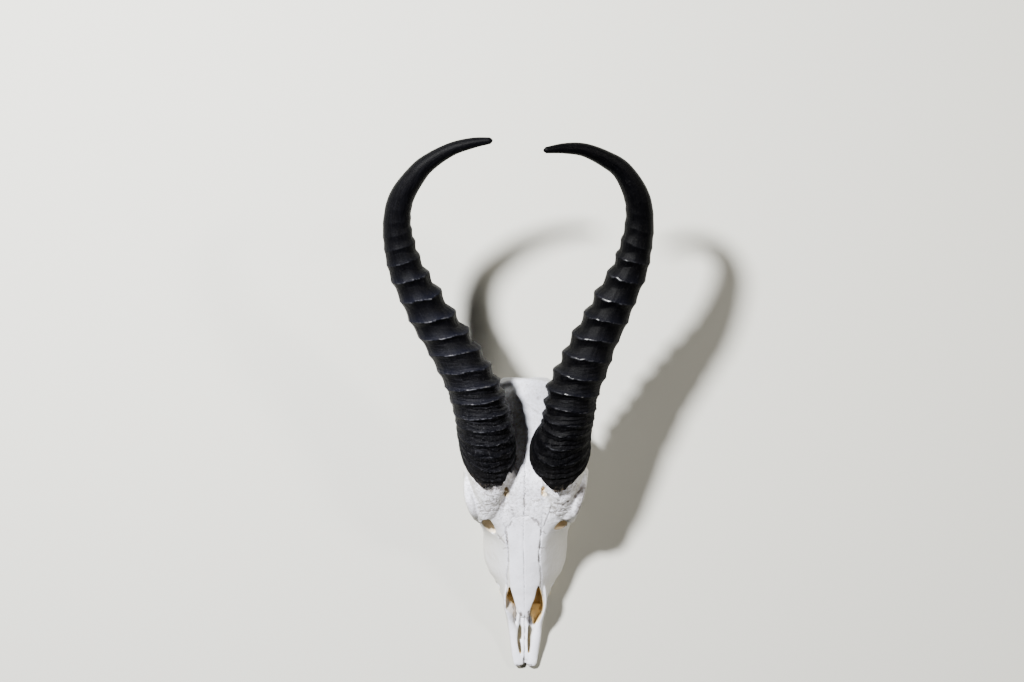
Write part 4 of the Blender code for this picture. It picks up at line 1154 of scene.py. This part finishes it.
def black_horn():
    """Near-black keratin: satin, with a painted bluish sheen and painted highlights on top, brown and
    scurfy where it meets the bone.
    """
    made, tree, shader = new_finish("black_horn")
    skin = stored(tree, "skin_mm")
    travel, lift, beyond = parts(tree, stored(tree, "ring_facts"))
    streaks = streaks_of(tree, skin, (1.6, 1.6, 0.06), 5.0, 0.65)
    clouds = streaks_of(tree, skin, (0.12, 0.12, 0.05), 4.0, 0.6)
    flakes = streaks_of(tree, skin, (0.7, 0.7, 0.7), 6.0, 0.7)
    growth = streaks_of(tree, skin, (0.07, 0.07, 1.5), 4.0, 0.65)
    base = step(tree, calc(tree, "MULTIPLY_ADD", clouds, -22.0, travel), 8.0, -12.0)
    black = tint(tree, step(tree, streaks, 0.35, 0.75), HORN_BLACK, HORN_GREY)
    # Painted sheen: the tip side of each crest is painted bluish
    black = tint(tree, calc(tree, "POWER", beyond, 2.2), black, PAINTED_BLUE_SHEEN)
    # Painted highlight: the crests are painted paler where they face up, and are rubbed there too
    front = parts(tree, aim(tree, "NORMALIZE", aim(tree, "MULTIPLY", skin, (1, 1, 0))))[1]
    patchy = streaks_of(tree, skin, (0.35, 0.35, 0.3), 4.0, 0.6)
    worn = times(tree, step(tree, lift, 0.83, 0.93), step(tree, patchy, 0.43, 0.60),
                 step(tree, front, 0.55, 0.97), step(tree, travel, 185.0, 150.0))
    black = tint(tree, worn, black, CREST_PAINTED_HIGHLIGHT)
    # Painted glints: pale specks over the lower part of the sheath
    painted_glints = streaks_of(tree, skin, (1.5, 1.5, 0.9), 4.0, 0.75)
    painted_glints = times(tree, step(tree, painted_glints, 0.57, 0.68), step(tree, travel, 130.0, 20.0))
    # The animal's left horn is darker, with fewer painted glints and growth lines
    on_left_horn = step(tree, parts(tree, spot_mm(tree))[0], -8.0, 8.0)
    marks_share = calc(tree, "MULTIPLY_ADD", on_left_horn, -0.7, 1.0)
    black = aim(tree, "SCALE", black, scale=calc(tree, "MULTIPLY_ADD", on_left_horn, -0.5, 1.0))
    black = tint(tree, times(tree, painted_glints, 0.75, marks_share), black, PAINTED_GLINT)
    lines = times(tree, step(tree, growth, 0.54, 0.66), step(tree, travel, 150.0, 60.0))
    black = tint(tree, times(tree, lines, 0.6, marks_share), black, GROWTH_LINE)
    weathered = add(tree, "ShaderNodeGroup", {
        "Place": skin, "Colour": black, "Dust": HORN_DUST, "Cloud size": 9.0,
        "Clouding": 0.5, "Dustiness": 0.3, "Grain size": 0.8, "Grain": 0.25,
        "Low": times(tree, base, 0.35)}, node_tree=weathering)
    colour = weathered.outputs["Colour"]
    near_edge = step(tree, travel, 7.0, 0.5)
    scurf = calc(tree, "MULTIPLY_ADD", near_edge, 0.14, flakes)
    scurf = times(tree, step(tree, scurf, 0.6, 0.72), near_edge)
    colour = tint(tree, times(tree, scurf, 0.6), colour, SCURF)
    pale = times(tree, step(tree, clouds, 0.6, 0.75), step(tree, flakes, 0.56, 0.68))
    colour = tint(tree, times(tree, pale, 0.4), colour, PALE_PATCH)
    tree.links.new(colour, shader.inputs["Base Color"])
    rough = calc(tree, "MULTIPLY_ADD", streaks, 0.3, calc(tree, "MULTIPLY_ADD", base, 0.1, 0.28))
    rough = calc(tree, "MULTIPLY_ADD", worn, -0.12, rough)
    tree.links.new(rough, shader.inputs["Roughness"])
    shader.inputs["Specular IOR Level"].default_value = 0.033
    # The rings' rubbed crests are polished, which a thin coat over the dull horn shows
    tree.links.new(times(tree, worn, 0.8), shader.inputs["Coat Weight"])
    shader.inputs["Coat Roughness"].default_value = 0.32
    relief = calc(tree, "MULTIPLY_ADD", streaks, 0.25, times(tree, flakes, 0.1))
    relief = plus(tree, relief, weathered.outputs["Height"])
    grown = times(tree, step(tree, travel, 150.0, 60.0), 0.5)
    relief = calc(tree, "MULTIPLY_ADD", growth, grown, relief)
    emboss(tree, shader, relief, 0.8, 1.0)
    return made


horn_finish = black_horn()
sheath_tree = horn_tree()
for word, side, path, rings, swell, edge, seed in (
    ("left", 1, LEFT_HORN, LEFT_RINGS, LEFT_SWELL, LEFT_EDGE, 3),
    ("right", -1, RIGHT_HORN, RIGHT_RINGS, RIGHT_SWELL, RIGHT_EDGE, 8),
):
    sheath, length = horn_line(word, side, path, rings, swell, edge)
    grow = modify(sheath, "NODES", node_group=sheath_tree)
    names = {item.name: item.identifier for item in sheath_tree.interface.items_tree
             if item.in_out == "INPUT"}
    for name, value in (("Side", float(side)), ("Length", float(length)), ("Seed", seed),
                        ("Finish", horn_finish)):
        grow[names[name]] = value
    settle(sheath)
    sheath.data.set_sharp_from_angle(angle=math.radians(70))
    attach(sheath, "root")
    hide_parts(f"horn_sheath_{word}")

# Cheek teeth: twelve tall grinding teeth, each grown in its own socket. Enamel wraps each one and
# its inner crescents, and stands as sharp ridges over the softer, browner dentine between them.
# Each tooth's length along the row, its width and its lobes, from the nose back
TEETH = (
    ("premolar_2", 6.6, 5.6, 1), ("premolar_3", 7.6, 7.0, 1), ("premolar_4", 8.0, 8.6, 1),
    ("molar_1", 11.6, 10.0, 2), ("molar_2", 13.4, 10.8, 2), ("molar_3", 14.2, 10.4, 2),
)
ROW_START = 57.5
# From the middle plane to the first tooth and to the last
ROW_HALF_WIDTHS = (17.2, 24.0)
TOOTH_SPACING = 0.5
SOCKET_TOP = 10.5
TOOTH_POINTS = 80
FACE_RINGS = 26
WALL_HEIGHTS = (0.35, 0.9, 1.8, 3.2, 5.0, 7.0, 9.0, SOCKET_TOP)
DENTINE = (0.36, 0.24, 0.12, 1)
ENAMEL = (0.72, 0.66, 0.52, 1)
PIT_STAIN = (0.05, 0.035, 0.025, 1)
TOOTH_DUST = (0.20, 0.13, 0.07, 1)


def tooth_outline(length, width, lobes):
    """A grinding outline: ribbed on the cheek side, one or two lobes with a cleft on the inner."""
    angle = 2 * np.pi * (np.arange(TOOTH_POINTS) + 0.5) / TOOTH_POINTS
    along = np.sign(np.cos(angle)) * np.abs(np.cos(angle)) ** 0.6
    across = np.sign(np.sin(angle)) * np.abs(np.sin(angle)) ** 0.6
    ribs = 0.93 + 0.07 * np.cos(2 * np.pi * lobes * along) + 0.025 * np.cos(4 * np.pi * lobes * along)
    cleft = 1 - (0.26 if lobes == 2 else 0.05) * np.exp(-(along / 0.2) ** 2)
    across = across * np.where(across > 0, ribs, cleft)
    return np.column_stack([across * width / 2, along * length / 2])


def grinding_relief(flat, inset, length, width, lobes):
    """How deep the face is worn, in mm, and how much of it is enamel."""
    across, along = flat.T
    half = length / (2 * lobes)
    edge = np.exp(-((inset - 0.35) / 0.26) ** 2)
    ridge, pit = edge, np.zeros(len(flat))
    for lobe in range(lobes):
        s = (along - half * (2 * lobe + 1 - lobes)) / half
        middle = 0.06 * width + 0.24 * width * s**2
        opening = 0.085 * width * np.sqrt(np.clip(1 - (s / 0.74) ** 2, 0, 1))
        off = np.abs(across - middle) - opening
        near = np.exp(-((off - 0.12) / 0.26) ** 2) * ramp(np.abs(s), 0.86, 0.7)
        ridge = np.maximum(ridge, near)
        pit = np.maximum(pit, ramp(off, 0.02, -0.3) * (opening > 0))
    worn = 0.55 * (1 - ridge) + 0.9 * pit + 0.25 * ramp(np.abs(along) / half, 0.2, 0.0) * (lobes == 2)
    return np.clip(worn, 0, None), np.clip(ridge - pit, 0, 1)


def tooth(name, side, centre, length, width, lobes):
    """One tooth: its wall from the socket down, then its worn grinding face."""
    outline = tooth_outline(length, width, lobes)
    rows, enamel, worn = [], [], []
    for height in WALL_HEIGHTS[::-1]:
        grow = 1 + 0.035 * math.sin(math.pi * height / SOCKET_TOP) - 0.05 * ramp(height, 0.9, 0.0)
        wall = outline * grow * (side, 1) + centre
        rows.append(np.column_stack([wall, np.full(len(wall), height)]))
        enamel.append(np.ones(len(wall)))
        worn.append(np.full(len(wall), 0.15))
    for share in np.linspace(1, 0.02, FACE_RINGS):
        flat = outline * share * 0.955
        inset = (1 - share) * min(length, width) / 2
        depth, hard = grinding_relief(flat, np.full(len(flat), inset), length, width, lobes)
        face = flat * (side, 1) + centre
        rows.append(np.column_stack([face, depth * ramp(1 - share, 0.0, 0.02) + 0.05 * (share == 1)]))
        enamel.append(hard)
        worn.append(depth)
    shape = loft([[tuple(point) for point in row] for row in rows])
    made = object_from(name, [shape])
    write_attribute(made.data, "enamel", np.concatenate(enamel))
    write_attribute(made.data, "worn", np.concatenate(worn))
    made.data.shade_smooth()
    made.data.set_sharp_from_angle(angle=math.radians(50))
    return made


def tooth_enamel():
    """Ivory enamel, glossy, over duller brown dentine, with dark stain in the deepest pits."""
    made, tree, shader = new_finish("tooth_enamel")
    place = spot_mm(tree)
    hard, worn = stored(tree, "enamel", "Fac"), stored(tree, "worn", "Fac")
    cracks = streaks_of(tree, place, (3.0, 3.0, 0.35), 4.0, 0.6)
    ivory = tint(tree, hard, DENTINE, ENAMEL)
    ivory = tint(tree, step(tree, worn, 0.7, 1.2), ivory, PIT_STAIN)
    weathered = add(tree, "ShaderNodeGroup", {
        "Place": place, "Colour": ivory, "Dust": TOOTH_DUST, "Cloud size": 4.0,
        "Clouding": 0.25, "Dustiness": 0.5, "Grain size": 0.6, "Grain": 0.2,
        "Low": times(tree, step(tree, cracks, 0.5, 0.35), 0.4)}, node_tree=weathering)
    tree.links.new(weathered.outputs["Colour"], shader.inputs["Base Color"])
    gloss = calc(tree, "MULTIPLY_ADD", hard, -0.25, 0.6)
    tree.links.new(gloss, shader.inputs["Roughness"])
    relief = calc(tree, "MULTIPLY_ADD", cracks, 0.4, weathered.outputs["Height"])
    emboss(tree, shader, relief, 0.4, 0.4)
    return made


tooth_finish = tooth_enamel()
row_length = sum(length + TOOTH_SPACING for _, length, _, _ in TEETH)
row_y = ROW_START
for tooth_name, length, width, lobes in TEETH:
    row_y += length / 2
    share = (row_y - ROW_START) / row_length
    row_x = ROW_HALF_WIDTHS[0] + (ROW_HALF_WIDTHS[1] - ROW_HALF_WIDTHS[0]) * share**0.8
    for word, side in (("left", 1), ("right", -1)):
        name = f"tooth_{word}_{tooth_name}"
        made = tooth(name, side, (row_x * side, row_y), length, width, lobes)
        made.data.materials.append(tooth_finish)
        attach(made, "root")
        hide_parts(name)
    row_y += length / 2 + TOOTH_SPACING

# Stage: a plain pale floor under two soft lamps and a dim warm room. The camera hangs straight above,
# where the photograph was taken from, and keeps the animal's horns towards the top of the picture.
FLOOR_SIZE = 6.0
FLOOR_COLOUR = (0.56, 0.56, 0.515, 1)
ROOM_COLOUR = (1.0, 0.90, 0.76, 1)
ROOM_STRENGTH = 0.03
CAMERA_HEIGHT = 1.4
CAMERA_OVER = ((-10.4 + SHIFT[0]) * MM, (259.6 + SHIFT[1]) * MM)
LENS_MM = 61.5
SENSOR_MM = 36
LAMPS_AIM = Vector((0, 0, 0.05))

grid = bmesh.new()
bmesh.ops.create_grid(grid, x_segments=1, y_segments=1, size=FLOOR_SIZE / 2)
floor = object_from("floor", [grid])
paint, _, shader = new_finish("pale_floor")
shader.inputs["Base Color"].default_value = FLOOR_COLOUR
shader.inputs["Roughness"].default_value = 0.8
floor.data.materials.append(paint)

camera_data = bpy.data.cameras.new("camera")
camera_data.lens = LENS_MM
camera_data.sensor_width = SENSOR_MM
camera_data.clip_start = 0.05
camera = put_in_scene("camera", camera_data)
camera.location = (*CAMERA_OVER, CAMERA_HEIGHT)
bpy.context.scene.camera = camera


def lamp(name, direction, distance, size, power, colour):
    """A round soft lamp that shines at the skull from that direction."""
    data = bpy.data.lights.new(name, "AREA")
    data.shape = "DISK"
    data.size = size
    data.energy = power
    data.color = colour
    made = put_in_scene(name, data)
    made.location = LAMPS_AIM + Vector(direction).normalized() * distance
    made.rotation_euler = (LAMPS_AIM - made.location).to_track_quat("-Z", "Y").to_euler()


lamp("main_lamp", direction=(-0.55, 0.52, 1), distance=1.5, size=0.18, power=104,
     colour=(1.0, 0.995, 0.99))
lamp("side_lamp", direction=(1.16, 0.49, 1), distance=2.0, size=0.25, power=24,
     colour=(1.0, 0.95, 0.86))
world = bpy.data.worlds.new("soft_room")
world.use_nodes = True
room = world.node_tree.nodes["Background"].inputs
room["Color"].default_value = ROOM_COLOUR
room["Strength"].default_value = ROOM_STRENGTH
bpy.context.scene.world = world
